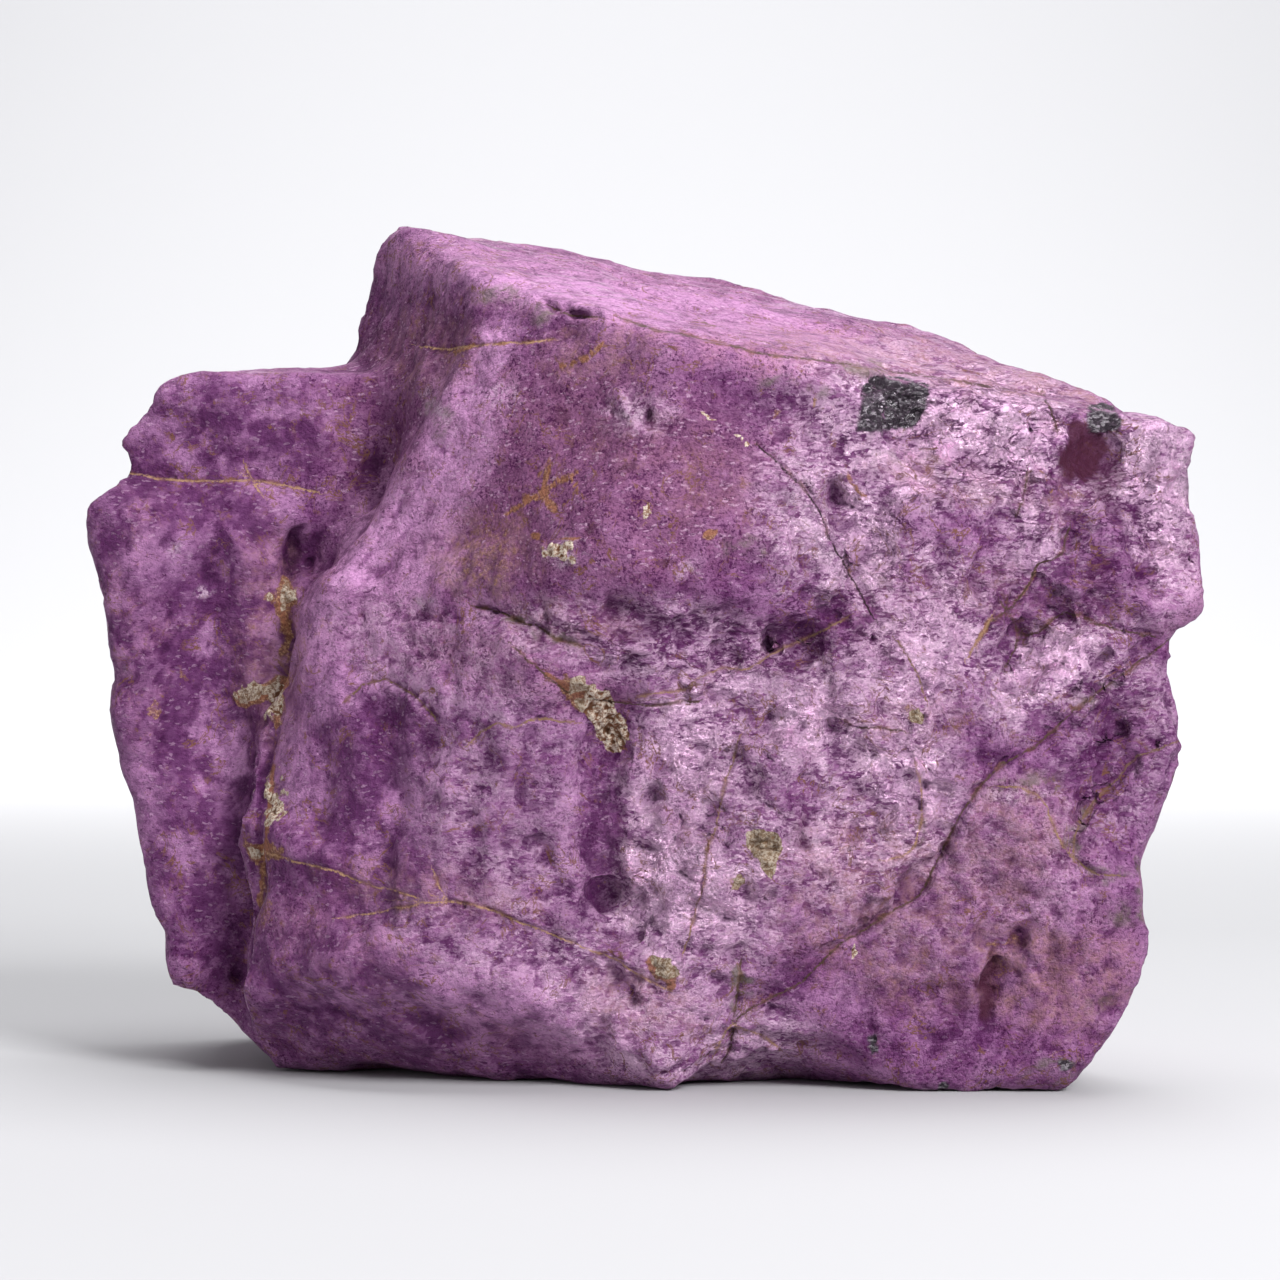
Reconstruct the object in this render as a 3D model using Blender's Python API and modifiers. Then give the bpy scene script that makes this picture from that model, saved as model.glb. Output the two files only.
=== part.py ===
"""A rough piece of purpurite, about 60 mm wide, lying on its flat underside.

It is one stone. A block of it is cleaved along its planes, a lower ledge is joined on at the left,
and the front is undercut below a bulging nose. The surface is then worked: lumps and hollows, steps and
grooves along its cracks, and the broken grain of a mineral that cleaves badly.

Lengths are in millimetres until they reach a mesh. X runs to the right, Y away from the viewer and Z up,
with the origin under the middle of the stone.
"""

import bmesh
import bpy
import numpy as np
from mathutils import Matrix, Vector, noise

MM = 0.001
STONE_NAME = "purpurite_stone"

# Size of the whole stone
WIDTH = 60.0
DEPTH = 36.0
HEIGHT = 47.4

# How finely the stone is worked, and how many triangles it keeps
WORKING_VOXEL = 0.65
KEPT_TRIANGLES = 9000

# Cleavage planes that the body and the crown above it share: a point on each and the way it faces
SHARED_PLANES = {
    "sloping_top": ((11.5, -17.0, 37.5), (0.214, -0.242, 1.0)),
    "nose_left": ((-3.5, -16.4, 30.0), (-0.52, -0.83, 0.14)),
    "front": ((5.0, -17.8, 28.0), (0.0, -1.0, -0.03)),
    "front_foot": ((10.0, -16.8, 20.0), (0.0, -1.0, -0.13)),
    "front_right": ((19.0, -16.6, 26.0), (0.18, -1.0, 0.02)),
    "front_toe": ((-11.1, -8.3, 0.6), (-0.25, -0.62, -0.75)),
    "right_lower": ((27.9, -15.0, 18.0), (1.0, 0.12, -0.20)),
    "right_upper": ((29.9, -15.0, 27.0), (1.0, 0.12, 0.20)),
    "right_foot": ((22.9, -15.0, 0.8), (0.86, 0.05, -0.50)),
    "back_right": ((22.8, -5.5, 37.0), (0.86, 0.51, 0.06)),
    "back": ((5.0, 5.6, 44.0), (0.03, 1.0, 0.27)),
    "back_left": ((-13.0, 4.9, 46.0), (-0.50, 0.82, 0.16)),
    "underside_back": ((0.0, 9.0, 0.0), (0.0, 0.40, -1.0)),
    "underside_left": ((-9.0, -10.0, -0.4), (-0.16, -0.05, -1.0)),
}
BODY_BOX = ((-21.0, -20.0, -0.25), (31.5, 16.4, 49.0))
BODY_PLANES = {"left_sweep": ((-17.8, -8.5, 23.7), (-0.876, -0.176, 0.45))}
CROWN_BOX = ((-20.0, -20.0, 30.0), (31.0, 17.0, 49.0))
CROWN_PLANES = {"left_flank": ((-14.5, 3.4, 47.5), (-1.0, -0.51, 0.268))}
CROWN_INSET = 0.12

# The recess under the nose: what lies in front of the lower face and below the ledge is cut away
UNDERCUT_BOX = ((-24.0, -24.0, -4.0), (16.0, 0.0, 23.5))
UNDERCUT_PLANES = {
    "lower_face_left": ((-9.0, -11.4, 12.0), (0.32, 1.0, 0.03)),
    "lower_face_right": ((4.0, -15.5, 12.0), (0.02, 1.0, 0.06)),
    "ledge_left": ((-9.0, -13.0, 20.6), (0.0, 0.25, 1.0)),
    "ledge_right": ((4.0, -16.0, 21.4), (-0.12, 0.45, 1.0)),
}

# The lower ledge at the left, in two beds parted by a level crack
PANEL_BOX = ((-31.5, -5.0, -0.2), (-6.0, 13.5, 32.2))
PANEL_PLANES = {
    "outer_side": ((-29.3, -4.6, 28.0), (-1.0, 0.10, -0.08)),
    "outer_foot": ((-27.9, -4.6, 15.7), (-1.0, 0.10, -0.19)),
    "outer_toe": ((-25.7, -4.6, 7.0), (-1.0, 0.10, -0.48)),
    "outer_under": ((-22.6, -4.6, 2.6), (-0.65, 0.06, -0.76)),
    "panel_front": ((-26.0, -4.7, 18.0), (-0.05, -1.0, 0.0)),
    "panel_back": ((-20.0, 11.8, 18.0), (-0.32, 1.0, 0.08)),
}
SHELF_BOX = ((-29.6, -4.2, 31.8), (-6.0, 13.0, 40.0))
SHELF_PLANES = {
    "shelf_top": ((-22.0, -3.0, 38.4), (-0.03, -0.03, 1.0)),
    "shelf_shoulder": ((-27.5, -4.2, 36.2), (-0.86, 0.08, 0.5)),
    "shelf_side": ((-28.2, -4.2, 33.0), (-1.0, 0.10, 0.1)),
    "shelf_back": ((-20.0, 10.9, 36.0), (-0.32, 1.0, 0.12)),
}

# The ways that the stone is looked at to place its marks: the axis towards the viewer, and the two in view
VIEWS = {
    "front": ((0, -1, 0), (0, 2)),
    "back": ((0, 1, 0), (0, 2)),
    "left": ((-1, 0, 0), (1, 2)),
    "right": ((1, 0, 0), (1, 2)),
    "top": ((0, 0, 1), (0, 1)),
    "under": ((0, 0, -1), (0, 1)),
}

# Steps in the surface along a line: view, points, how far the right-hand side of the line drops,
# how wide the edge of the step is, and how far from the line the drop has faded
STEPS = {
    "main_crack": ("front", ((28.0, 23.6), (24.5, 21.2), (21.7, 19.0), (18.5, 16.8), (15.9, 12.7),
                             (13.2, 9.5), (8.7, 5.9), (5.5, 4.4), (4.5, -1.0)), -0.75, 0.35, 9.0),
    "second_crack": ("front", ((28.0, 18.6), (24.6, 15.9), (23.0, 13.8), (22.9, 12.2), (26.5, 11.4)),
                     -0.55, 0.3, 4.5),
    "lower_left_crack": ("front", ((-20.0, 12.4), (-14.9, 10.9), (-7.8, 9.4), (-3.5, 7.5), (1.5, 5.3)),
                         0.55, 0.3, 6.0),
    "nose_side": ("front", ((8.0, 34.0), (10.4, 29.0), (12.4, 25.3), (10.0, 23.0), (3.0, 21.0)), 0.5, 0.8, 5.0),
    "upper_right_step": ("front", ((14.0, 37.0), (17.5, 33.0), (19.0, 29.0), (21.5, 26.0)), 0.6, 0.5, 7.0),
    "panel_bed": ("front", ((-32.0, 33.0), (-26.5, 32.5), (-21.4, 32.4), (-16.0, 31.6)), -0.5, 0.3, 5.0),
    "flank_rib": ("left", ((-9.0, 46.0), (-8.0, 36.0)), 0.6, 0.5, 4.0),
    "back_upper": ("back", ((22.0, 30.0), (6.0, 33.5), (-14.0, 29.0), (-22.0, 24.0)), -1.5, 0.6, 22.0),
    "back_lower": ("back", ((-12.0, 22.0), (4.0, 15.0), (10.0, -2.0)), 1.2, 0.6, 16.0),
    "right_bed": ("right", ((-14.0, 23.4), (-4.0, 20.0), (8.0, 21.5), (15.0, 17.0)), 0.9, 0.5, 9.0),
    "top_bed": ("top", ((-13.0, -1.5), (-1.0, -6.0), (12.0, -5.0), (24.0, -9.5)), 0.35, 0.4, 7.0),
    "left_bed": ("left", ((-4.0, 32.4), (5.0, 31.8), (13.0, 33.0)), -0.6, 0.3, 6.0),
}

# Grooves along a line: view, points, half width and depth
GROOVES = {
    "main_crack": ("front", ((28.5, 24.0), (24.5, 21.2), (21.7, 19.0), (18.5, 16.8), (15.9, 12.7), (13.2, 9.5),
                             (8.7, 5.9)), 0.7, 0.6),
    "level_crack": ("front", ((-32.0, 32.9), (-26.5, 32.5), (-21.4, 32.4), (-17.6, 31.7)), 0.7, 0.8),
    "level_crack_side": ("left", ((-6.0, 32.5), (3.0, 31.9), (12.0, 32.8)), 0.7, 0.7),
    "left_seam": ("front", ((-18.4, 28.1), (-19.2, 25.5), (-19.3, 21.5), (-20.3, 18.0), (-20.8, 10.0),
                            (-21.6, 5.0)), 1.1, 0.9),
    "flank_foot": ("front", ((-15.5, 38.0), (-14.2, 36.0), (-15.1, 31.9), (-18.4, 28.1)), 1.3, 0.9),
    "dark_valley": ("front", ((-1.7, 18.0), (-2.1, 13.2), (-1.5, 8.5)), 1.1, 1.3),
    "valley_foot": ("front", ((-5.2, 12.6), (-4.4, 9.6)), 0.9, 0.7),
    "nose_slot": ("front", ((-8.0, 25.3), (-5.0, 24.4), (-2.9, 23.5)), 0.6, 0.7),
    "crust_bed": ("front", ((-4.4, 21.6), (-1.9, 20.3), (-0.8, 18.3)), 1.1, 0.6),
    "cross_a": ("front", ((26.8, 23.9), (22.3, 25.3), (19.4, 23.2)), 0.7, 0.6),
    "cross_b": ("front", ((22.4, 29.2), (20.6, 26.9), (19.6, 25.4), (21.0, 23.2)), 0.8, 0.7),
    "fissure": ("front", ((6.7, 33.4), (9.5, 30.4), (12.1, 25.3)), 0.6, 0.35),
    "rib_gap_a": ("front", ((-13.2, 19.0), (-12.4, 15.0), (-13.6, 11.5)), 0.8, 0.5),
    "rib_gap_b": ("front", ((-8.0, 18.2), (-8.6, 14.0), (-9.6, 10.4)), 0.8, 0.55),
    "right_notch": ("right", ((-19.0, 23.3), (-12.0, 23.3), (-7.0, 21.8)), 1.4, 2.0),
    "right_notch_low": ("right", ((-19.0, 12.0), (-12.0, 12.2)), 0.9, 0.7),
    "back_crack": ("back", ((-20.0, 6.0), (-9.0, 13.0), (-2.0, 24.0), (-3.5, 36.0)), 0.7, 0.7),
}

# Lumps and, where the height is negative, hollows: middle, radii along X, Y and Z, height
LUMPS = {
    "nose": ((0.8, -17.5, 28.2), (9.0, 8.0, 6.0), 1.3),
    "nose_chin": ((-5.0, -15.5, 23.0), (5.0, 5.0, 2.4), 0.7),
    "lower_front": ((6.5, -15.5, 13.0), (4.2, 5.0, 6.0), 0.8),
    "lower_front_left": ((1.4, -15.5, 9.0), (2.2, 4.0, 6.0), 0.5),
    "under_nose_hollow": ((8.4, -17.0, 22.9), (3.0, 3.0, 2.0), -0.6),
    "cross_hollow": ((20.4, -16.0, 22.0), (2.0, 3.0, 2.4), -0.5),
    "bright_cheek": ((22.6, -16.0, 21.6), (1.3, 3.0, 2.4), 0.7),
    "upper_right_lump": ((15.0, -16.5, 29.5), (3.0, 4.0, 4.0), 0.7),
    "corner_hollow": ((24.0, -14.5, 33.6), (1.8, 3.4, 1.6), -1.5),
    "inclusion_bed": ((13.2, -17.2, 36.0), (1.9, 2.0, 1.6), -0.5),
    "right_bulge": ((29.6, -14.5, 28.0), (3.0, 5.0, 2.6), 0.5),
    "right_bulge_low": ((28.0, -14.5, 17.6), (3.0, 5.0, 3.4), 0.6),
    "dark_wedge": ((24.6, -16.0, 16.6), (1.4, 3.0, 4.4), -0.9),
    "low_right_hollow": ((18.8, -16.0, 6.0), (1.0, 3.0, 2.8), -0.7),
    "low_right_lump": ((21.6, -16.0, 9.6), (2.4, 3.0, 3.0), 0.4),
    "low_left_shoulder": ((-8.0, -11.6, 6.6), (6.0, 4.0, 2.2), 0.6),
    "pit": ((0.0, -15.8, 35.6), (0.9, 2.0, 0.8), -0.6),
    "ridge_dip": ((-3.4, -14.2, 40.2), (1.4, 2.0, 1.2), -0.9),
    "crown_edge_a": ((-7.2, -13.0, 42.0), (2.0, 3.0, 2.0), -0.5),
    "panel_rib": ((-27.3, -4.8, 24.0), (1.5, 3.0, 8.0), 0.5),
    "panel_hollow": ((-23.0, -4.8, 21.0), (1.8, 3.0, 8.0), -0.8),
    "shelf_hollow": ((-24.5, -4.6, 35.2), (2.4, 3.0, 1.6), -0.6),
    "knob": ((-24.8, -3.6, 5.4), (1.3, 3.0, 1.3), 1.0),
    "arch": ((7.6, -16.0, -0.4), (5.6, 6.5, 3.4), -3.0),
    "under_hollow": ((-5.0, 2.0, 0.0), (9.0, 6.0, 2.0), -1.0),
    "under_hollow_right": ((13.0, -1.0, 0.0), (6.0, 5.0, 2.0), -0.9),
    "back_swell": ((10.0, 13.0, 14.0), (10.0, 8.0, 9.0), 1.2),
    "back_scoop": ((-4.0, 12.0, 31.0), (7.0, 7.0, 6.0), -1.4),
    "side_scoop": ((27.5, -1.0, 12.0), (6.0, 6.0, 6.0), -1.3),
}

# What the stone lies on, which its underside is cut level with
GROUND_BOX = ((-50.0, -50.0, -20.0), (50.0, 50.0, 0.0))

# The colour of the broken surface, its roughness and its share of metallic sheen
COLOUR = (0.275, 0.088, 0.262)
ROUGHNESS = 0.46
METALLIC = 0.1

# Broken facets: their size, how far they tilt, and how far each stands off its neighbours
FACETS = ((7.0, 0.085, 0.18),)
# Rolling unevenness: size of its waves and its height
SWELLS = ((9.0, 0.35), (3.6, 0.16))


def start_afresh():
    """Removes what the scene holds and makes the stone's collection and the cutters'."""
    for old in list(bpy.data.objects):
        bpy.data.objects.remove(old)
    collections = []
    for name in ("purpurite", "cutters"):
        made = bpy.data.collections.new(name)
        bpy.context.scene.collection.children.link(made)
        collections.append(made)
    return collections


def cloven_block(name, collection, box, planes, inset=0.0):
    """A box cleaved flat along each plane, or that far behind it, keeping what lies behind the cut."""
    low, high = (Vector(corner) * MM for corner in box)
    bm = bmesh.new()
    bmesh.ops.create_cube(bm, size=1.0)
    bmesh.ops.scale(bm, vec=high - low, verts=bm.verts)
    bmesh.ops.translate(bm, vec=(low + high) / 2, verts=bm.verts)
    for point, facing in planes.values():
        outward = Vector(facing).normalized()
        cut = bmesh.ops.bisect_plane(
            bm,
            geom=bm.verts[:] + bm.edges[:] + bm.faces[:],
            plane_co=(Vector(point) - outward * inset) * MM,
            plane_no=outward,
            clear_outer=True,
        )
        rim = [e for e in cut["geom_cut"] if isinstance(e, bmesh.types.BMEdge)]
        if rim:
            bmesh.ops.contextual_create(bm, geom=rim)
    bmesh.ops.recalc_face_normals(bm, faces=bm.faces)
    mesh = bpy.data.meshes.new(name)
    bm.to_mesh(mesh)
    bm.free()
    block = bpy.data.objects.new(name, mesh)
    collection.objects.link(block)
    return block


def as_helper(block):
    """Keeps a block out of the model: it only shapes another."""
    block.hide_render = True
    block.display_type = "WIRE"
    return block


def add_boolean(stone, other, operation):
    modifier = stone.modifiers.new(other.name, "BOOLEAN")
    modifier.operation = operation
    modifier.solver = "EXACT"
    modifier.object = other


def settle_modifiers(stone):
    """Puts what the modifiers make into the stone's own mesh."""
    bpy.context.view_layer.update()
    graph = bpy.context.evaluated_depsgraph_get()
    made = bpy.data.meshes.new_from_object(stone.evaluated_get(graph))
    old = stone.data
    stone.modifiers.clear()
    stone.data = made
    bpy.data.meshes.remove(old)


def joined_blocks(stones, cutters):
    """The main block, undercut below its nose, with the two beds of the ledge joined on."""
    stone = cloven_block(STONE_NAME, stones, BODY_BOX, SHARED_PLANES | BODY_PLANES)
    crown_planes = SHARED_PLANES | CROWN_PLANES
    crown = as_helper(cloven_block("crown", cutters, CROWN_BOX, crown_planes, CROWN_INSET))
    undercut = as_helper(cloven_block("undercut", cutters, UNDERCUT_BOX, UNDERCUT_PLANES))
    panel = as_helper(cloven_block("panel_bed", cutters, PANEL_BOX, PANEL_PLANES))
    shelf = as_helper(cloven_block("shelf_bed", cutters, SHELF_BOX, SHELF_PLANES))
    add_boolean(stone, crown, "UNION")
    add_boolean(stone, undercut, "DIFFERENCE")
    add_boolean(stone, panel, "UNION")
    add_boolean(stone, shelf, "UNION")
    remesh = stone.modifiers.new("even_mesh", "REMESH")
    remesh.mode = "VOXEL"
    remesh.voxel_size = WORKING_VOXEL * MM
    soften = stone.modifiers.new("soften", "SMOOTH")
    soften.factor = 0.5
    soften.iterations = 3
    settle_modifiers(stone)
    return stone


def read_surface(stone):
    """Where each point of the surface lies, in millimetres, and the way it faces."""
    count = len(stone.data.vertices)
    points = np.empty(count * 3)
    facings = np.empty(count * 3)
    stone.data.vertices.foreach_get("co", points)
    stone.data.vertices.foreach_get("normal", facings)
    return points.reshape(-1, 3) / MM, facings.reshape(-1, 3)


def push_surface(stone, height):
    """Moves each point of the surface outwards by its height."""
    points, facings = read_surface(stone)
    moved = (points + facings * height[:, None]) * MM
    stone.data.vertices.foreach_set("co", moved.ravel())
    stone.data.update()


def ease(values):
    """Runs smoothly from 0 to 1."""
    held = np.clip(values, 0.0, 1.0)
    return held * held * (3.0 - 2.0 * held)


def seen_from(view, points, facings):
    """Where the points lie in a view of the stone, and how squarely the surface faces it there."""
    toward, axes = VIEWS[view]
    return points[:, axes], ease((facings @ np.array(toward, float) - 0.15) / 0.35)


def side_of_line(flat, line):
    """How far each point lies from a line: above zero to the left of its course, below zero to the right."""
    nearest = np.full(len(flat), np.inf)
    side = np.ones(len(flat))
    for start, end in zip(line, line[1:]):
        start = np.array(start)
        course = np.array(end) - start
        length = np.hypot(*course)
        along = np.clip((flat - start) @ course / length**2, 0.0, 1.0)
        away = flat - start - along[:, None] * course
        distance = np.hypot(away[:, 0], away[:, 1])
        closer = distance < nearest
        turn = course[0] * away[:, 1] - course[1] * away[:, 0]
        nearest = np.where(closer, distance, nearest)
        side = np.where(closer, np.where(turn < 0.0, -1.0, 1.0), side)
    return nearest * side


def step_height(points, facings):
    """The drop on one side of each crack or edge of a bed, which fades away from it."""
    height = np.zeros(len(points))
    for view, line, drop, width, reach in STEPS.values():
        flat, squarely = seen_from(view, points, facings)
        side = side_of_line(flat, line)
        fade = ease(1.0 - np.abs(side) / reach)
        height -= 0.5 * drop * np.tanh(-side / width) * fade * squarely
    return height


def groove_height(points, facings):
    height = np.zeros(len(points))
    for view, line, half_width, depth in GROOVES.values():
        flat, squarely = seen_from(view, points, facings)
        side = side_of_line(flat, line)
        height -= depth * np.exp(-((side / half_width) ** 2)) * squarely
    return height


def lump_height(points):
    height = np.zeros(len(points))
    for middle, radii, raised in LUMPS.values():
        away = (points - np.array(middle)) / np.array(radii)
        height += raised * ease(1.25 - np.sqrt((away**2).sum(axis=1)))
    return height


def facet_height(points):
    """Facets that tilt at random, each with a small step to the next."""
    height = np.zeros(len(points))
    for size, tilt, stand in FACETS:
        for index, point in enumerate(points):
            place = Vector(point) / size
            seed = noise.voronoi(place)[1][0]
            lean = noise.cell_vector(seed * 31.7)
            height[index] += (place - seed).dot(lean) * tilt * size
            height[index] += noise.cell(seed * 17.3) * stand
    return height


def swell_height(points):
    height = np.zeros(len(points))
    for size, raised in SWELLS:
        for index, point in enumerate(points):
            height[index] += noise.noise(Vector(point) / size) * raised
    return height


def thin_out(stone):
    """Merges faces where the surface is plain, down to the number that the solid keeps."""
    stone.data.calc_loop_triangles()
    thin = stone.modifiers.new("thin", "DECIMATE")
    thin.ratio = min(1.0, KEPT_TRIANGLES / len(stone.data.loop_triangles))
    thin.use_collapse_triangulate = True
    settle_modifiers(stone)


def rest_flat(stone, cutters):
    """Cuts the underside level where the stone touches what it lies on."""
    ground = as_helper(cloven_block("ground", cutters, GROUND_BOX, {}))
    add_boolean(stone, ground, "DIFFERENCE")
    settle_modifiers(stone)


def fit_to_size(stone):
    """Brings the stone to its stated size and puts the middle of its underside at the origin."""
    corners = [Vector(corner) for corner in stone.bound_box]
    low = Vector(map(min, zip(*corners)))
    high = Vector(map(max, zip(*corners)))
    middle = Vector(((low.x + high.x) / 2, (low.y + high.y) / 2, low.z))
    wanted = Vector((WIDTH, DEPTH, HEIGHT)) * MM
    found = high - low
    factors = [want / have for want, have in zip(wanted, found)]
    stone.data.transform(Matrix.Diagonal((*factors, 1.0)) @ Matrix.Translation(-middle))
    stone.data.update()


def coloured(stone):
    """Gives the stone its own material."""
    material = bpy.data.materials.new("purpurite")
    material.use_nodes = True
    shader = material.node_tree.nodes["Principled BSDF"]
    shader.inputs["Base Color"].default_value = (*COLOUR, 1.0)
    shader.inputs["Roughness"].default_value = ROUGHNESS
    shader.inputs["Metallic"].default_value = METALLIC
    stone.data.materials.clear()
    stone.data.materials.append(material)


def main():
    stones, cutters = start_afresh()
    stone = joined_blocks(stones, cutters)
    points, facings = read_surface(stone)
    push_surface(stone, lump_height(points) + step_height(points, facings))
    points, facings = read_surface(stone)
    push_surface(stone, groove_height(points, facings) + facet_height(points) + swell_height(points))
    thin_out(stone)
    rest_flat(stone, cutters)
    fit_to_size(stone)
    coloured(stone)


main()
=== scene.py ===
# %% [markdown]
# # A rough piece of purpurite
#
# Purpurite is a manganese phosphate, and a broken piece of it shows two things at once: a deep purple body
# that is nearly matt, and satin patches where small cleavage faces catch the light together. Its cracks
# are filled with ochre iron stain, and other minerals sit in it as cream crusts and near-black grains.
#
# The solid that is loaded first holds the lumps, ledges and main cracks. This lesson makes the visible
# surface from a copy of it: the copy gets a fine, even mesh, then its relief is worked in, then masks are
# painted on its points, and last one material reads those masks.

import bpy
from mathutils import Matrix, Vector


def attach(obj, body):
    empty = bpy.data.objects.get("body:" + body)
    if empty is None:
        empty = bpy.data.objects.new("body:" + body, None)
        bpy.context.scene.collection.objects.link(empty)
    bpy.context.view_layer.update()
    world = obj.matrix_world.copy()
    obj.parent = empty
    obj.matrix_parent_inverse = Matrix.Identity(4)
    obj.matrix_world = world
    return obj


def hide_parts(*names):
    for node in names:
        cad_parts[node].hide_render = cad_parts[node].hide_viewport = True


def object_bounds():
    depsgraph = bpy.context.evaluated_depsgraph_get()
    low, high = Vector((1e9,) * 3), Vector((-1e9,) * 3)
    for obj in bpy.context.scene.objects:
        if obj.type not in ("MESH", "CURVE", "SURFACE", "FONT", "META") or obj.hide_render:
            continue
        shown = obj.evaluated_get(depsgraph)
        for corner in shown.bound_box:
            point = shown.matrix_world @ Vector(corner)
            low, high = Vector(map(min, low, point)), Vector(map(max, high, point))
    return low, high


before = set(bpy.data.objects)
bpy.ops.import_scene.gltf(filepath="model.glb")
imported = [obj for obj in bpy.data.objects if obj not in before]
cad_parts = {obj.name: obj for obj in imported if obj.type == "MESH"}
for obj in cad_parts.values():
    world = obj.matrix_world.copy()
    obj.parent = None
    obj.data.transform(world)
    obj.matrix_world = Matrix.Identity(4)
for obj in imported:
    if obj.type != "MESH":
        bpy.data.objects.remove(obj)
solid_low, solid_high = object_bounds()
print("the solid is", [round((high - low) * 1000, 1) for low, high in zip(solid_low, solid_high)], "mm")

# %% [markdown]
# ## The camera
#
# The picture to match is taken from straight in front, level, a little above the middle of the stone. The
# camera comes first, because small marks are easiest to place as they are seen: this many pixels across
# and down in a square picture. A long lens keeps the perspective flat, as for a small thing on a table.

# %% Add the camera
import math

import bpy
import numpy as np
from mathutils import Vector, noise

PICTURE = 1280
LENS = 98.4
SENSOR = 36.0
EYE = Vector((0.0006, -0.1955, 0.0237))

bpy.ops.object.select_all(action="DESELECT")
bpy.ops.object.camera_add(location=EYE, rotation=(math.radians(90), 0, 0))
camera = bpy.context.object
camera.data.lens = LENS
camera.data.sensor_width = SENSOR
camera.data.clip_start = 0.01
bpy.context.scene.camera = camera
bpy.context.scene.view_settings.view_transform = "Standard"
print("the camera sees", round(SENSOR / LENS * -EYE.y * 1000), "mm across at the middle of the stone")

# %% [markdown]
# ## A fine, even mesh
#
# The copy of the solid is a net of long and short triangles, which would show as flat facets under a
# raking light. A voxel remesh wraps it in small quads of one size, and a few rounds of smoothing take off
# the old facets. Sculptors start in the same way. The mesh is finest where it is looked at most: the
# front is subdivided once more, so the back can stay coarser and the whole stays light.

# %% Copy the solid and remesh it
VOXEL = 0.00057


def pick_only(thing):
    """Deselects everything, then selects one object and makes it active."""
    bpy.ops.object.select_all(action="DESELECT")
    thing.select_set(True)
    bpy.context.view_layer.objects.active = thing


def apply_modifier(thing, kind, **settings):
    """Adds one modifier with its settings and applies it."""
    pick_only(thing)
    modifier = thing.modifiers.new(kind.lower(), kind)
    for name, value in settings.items():
        setattr(modifier, name, value)
    bpy.ops.object.modifier_apply(modifier=modifier.name)


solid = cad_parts["purpurite_stone"]
stone = bpy.data.objects.new("purpurite_surface", solid.data.copy())
bpy.context.scene.collection.objects.link(stone)
stone.data.materials.clear()
pick_only(stone)
bpy.ops.object.mode_set(mode="EDIT")
bpy.ops.mesh.select_all(action="SELECT")
bpy.ops.mesh.remove_doubles(threshold=0.000001)
bpy.ops.object.mode_set(mode="OBJECT")
apply_modifier(stone, "REMESH", mode="VOXEL", voxel_size=VOXEL)
apply_modifier(stone, "SMOOTH", factor=0.5, iterations=4)
print("after the remesh:", len(stone.data.polygons), "faces")

# %% [markdown]
# ## Helpers to work the surface
#
# Everything after this asks the same questions of each point of the mesh: where is it, which way does it
# face, and where is it seen in the picture? NumPy answers them for all the points at once. Lengths are in
# millimetres here, because that is how one thinks about a stone of this size.

# %% Read and move the points
FOCAL = LENS / SENSOR * PICTURE
FRONT_FROM_EYE = 180.0
PIXELS_PER_MM = FOCAL / FRONT_FROM_EYE


def ease(values):
    """Runs smoothly from 0 to 1."""
    held = np.clip(values, 0.0, 1.0)
    return held * held * (3.0 - 2.0 * held)


def read_points(thing):
    """Where each point is, in millimetres, and the way the surface faces there."""
    count = len(thing.data.vertices)
    points = np.empty(count * 3)
    facings = np.empty(count * 3)
    thing.data.vertices.foreach_get("co", points)
    thing.data.vertices.foreach_get("normal", facings)
    return points.reshape(-1, 3) * 1000, facings.reshape(-1, 3)


def push(thing, height):
    """Moves each point along the way it faces, by its height in millimetres."""
    points, facings = read_points(thing)
    moved = (points + facings * height[:, None]) / 1000
    thing.data.vertices.foreach_set("co", moved.ravel())
    thing.data.update()


def in_picture(points):
    """Where each point is seen in the picture, in pixels across and down."""
    away = points / 1000 - np.array(EYE)
    across = PICTURE / 2 + FOCAL * away[:, 0] / away[:, 1]
    down = PICTURE / 2 - FOCAL * away[:, 2] / away[:, 1]
    return np.stack([across, down], axis=1)


def towards_eye(points, facings):
    """1 where the surface faces the camera, 0 where it turns away."""
    away = np.array(EYE) * 1000 - points
    away /= np.linalg.norm(away, axis=1)[:, None]
    return ease(((facings * away).sum(axis=1) - 0.02) / 0.16)


def in_mm(pixels):
    """The length on the front of the stone of a length in the picture."""
    return pixels / PIXELS_PER_MM


print("a millimetre is", round(PIXELS_PER_MM, 1), "pixels in the picture")

# %% [markdown]
# The faces that the camera sees are now cut in four. The test is made on the points, and a face counts
# only if all of its corners pass, so the finer part ends in a clean line.

# %% Subdivide the front
def subdivide_where(thing, wanted, cuts=1):
    """Subdivides the faces whose points are all wanted."""
    corners = np.empty(len(thing.data.loops), dtype=int)
    thing.data.loops.foreach_get("vertex_index", corners)
    starts = np.empty(len(thing.data.polygons), dtype=int)
    thing.data.polygons.foreach_get("loop_start", starts)
    chosen = np.minimum.reduceat(wanted[corners].astype(int), starts).astype(bool)
    pick_only(thing)
    bpy.ops.object.mode_set(mode="EDIT")
    bpy.ops.mesh.select_all(action="DESELECT")
    bpy.ops.mesh.select_mode(type="FACE")
    bpy.ops.object.mode_set(mode="OBJECT")
    thing.data.polygons.foreach_set("select", chosen)
    bpy.ops.object.mode_set(mode="EDIT")
    bpy.ops.mesh.subdivide(number_cuts=cuts)
    bpy.ops.object.mode_set(mode="OBJECT")


points, facings = read_points(stone)
subdivide_where(stone, towards_eye(points, facings) > 0.5)
apply_modifier(stone, "SMOOTH", factor=0.5, iterations=2)
print("with a finer front:", len(stone.data.polygons), "faces")

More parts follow.
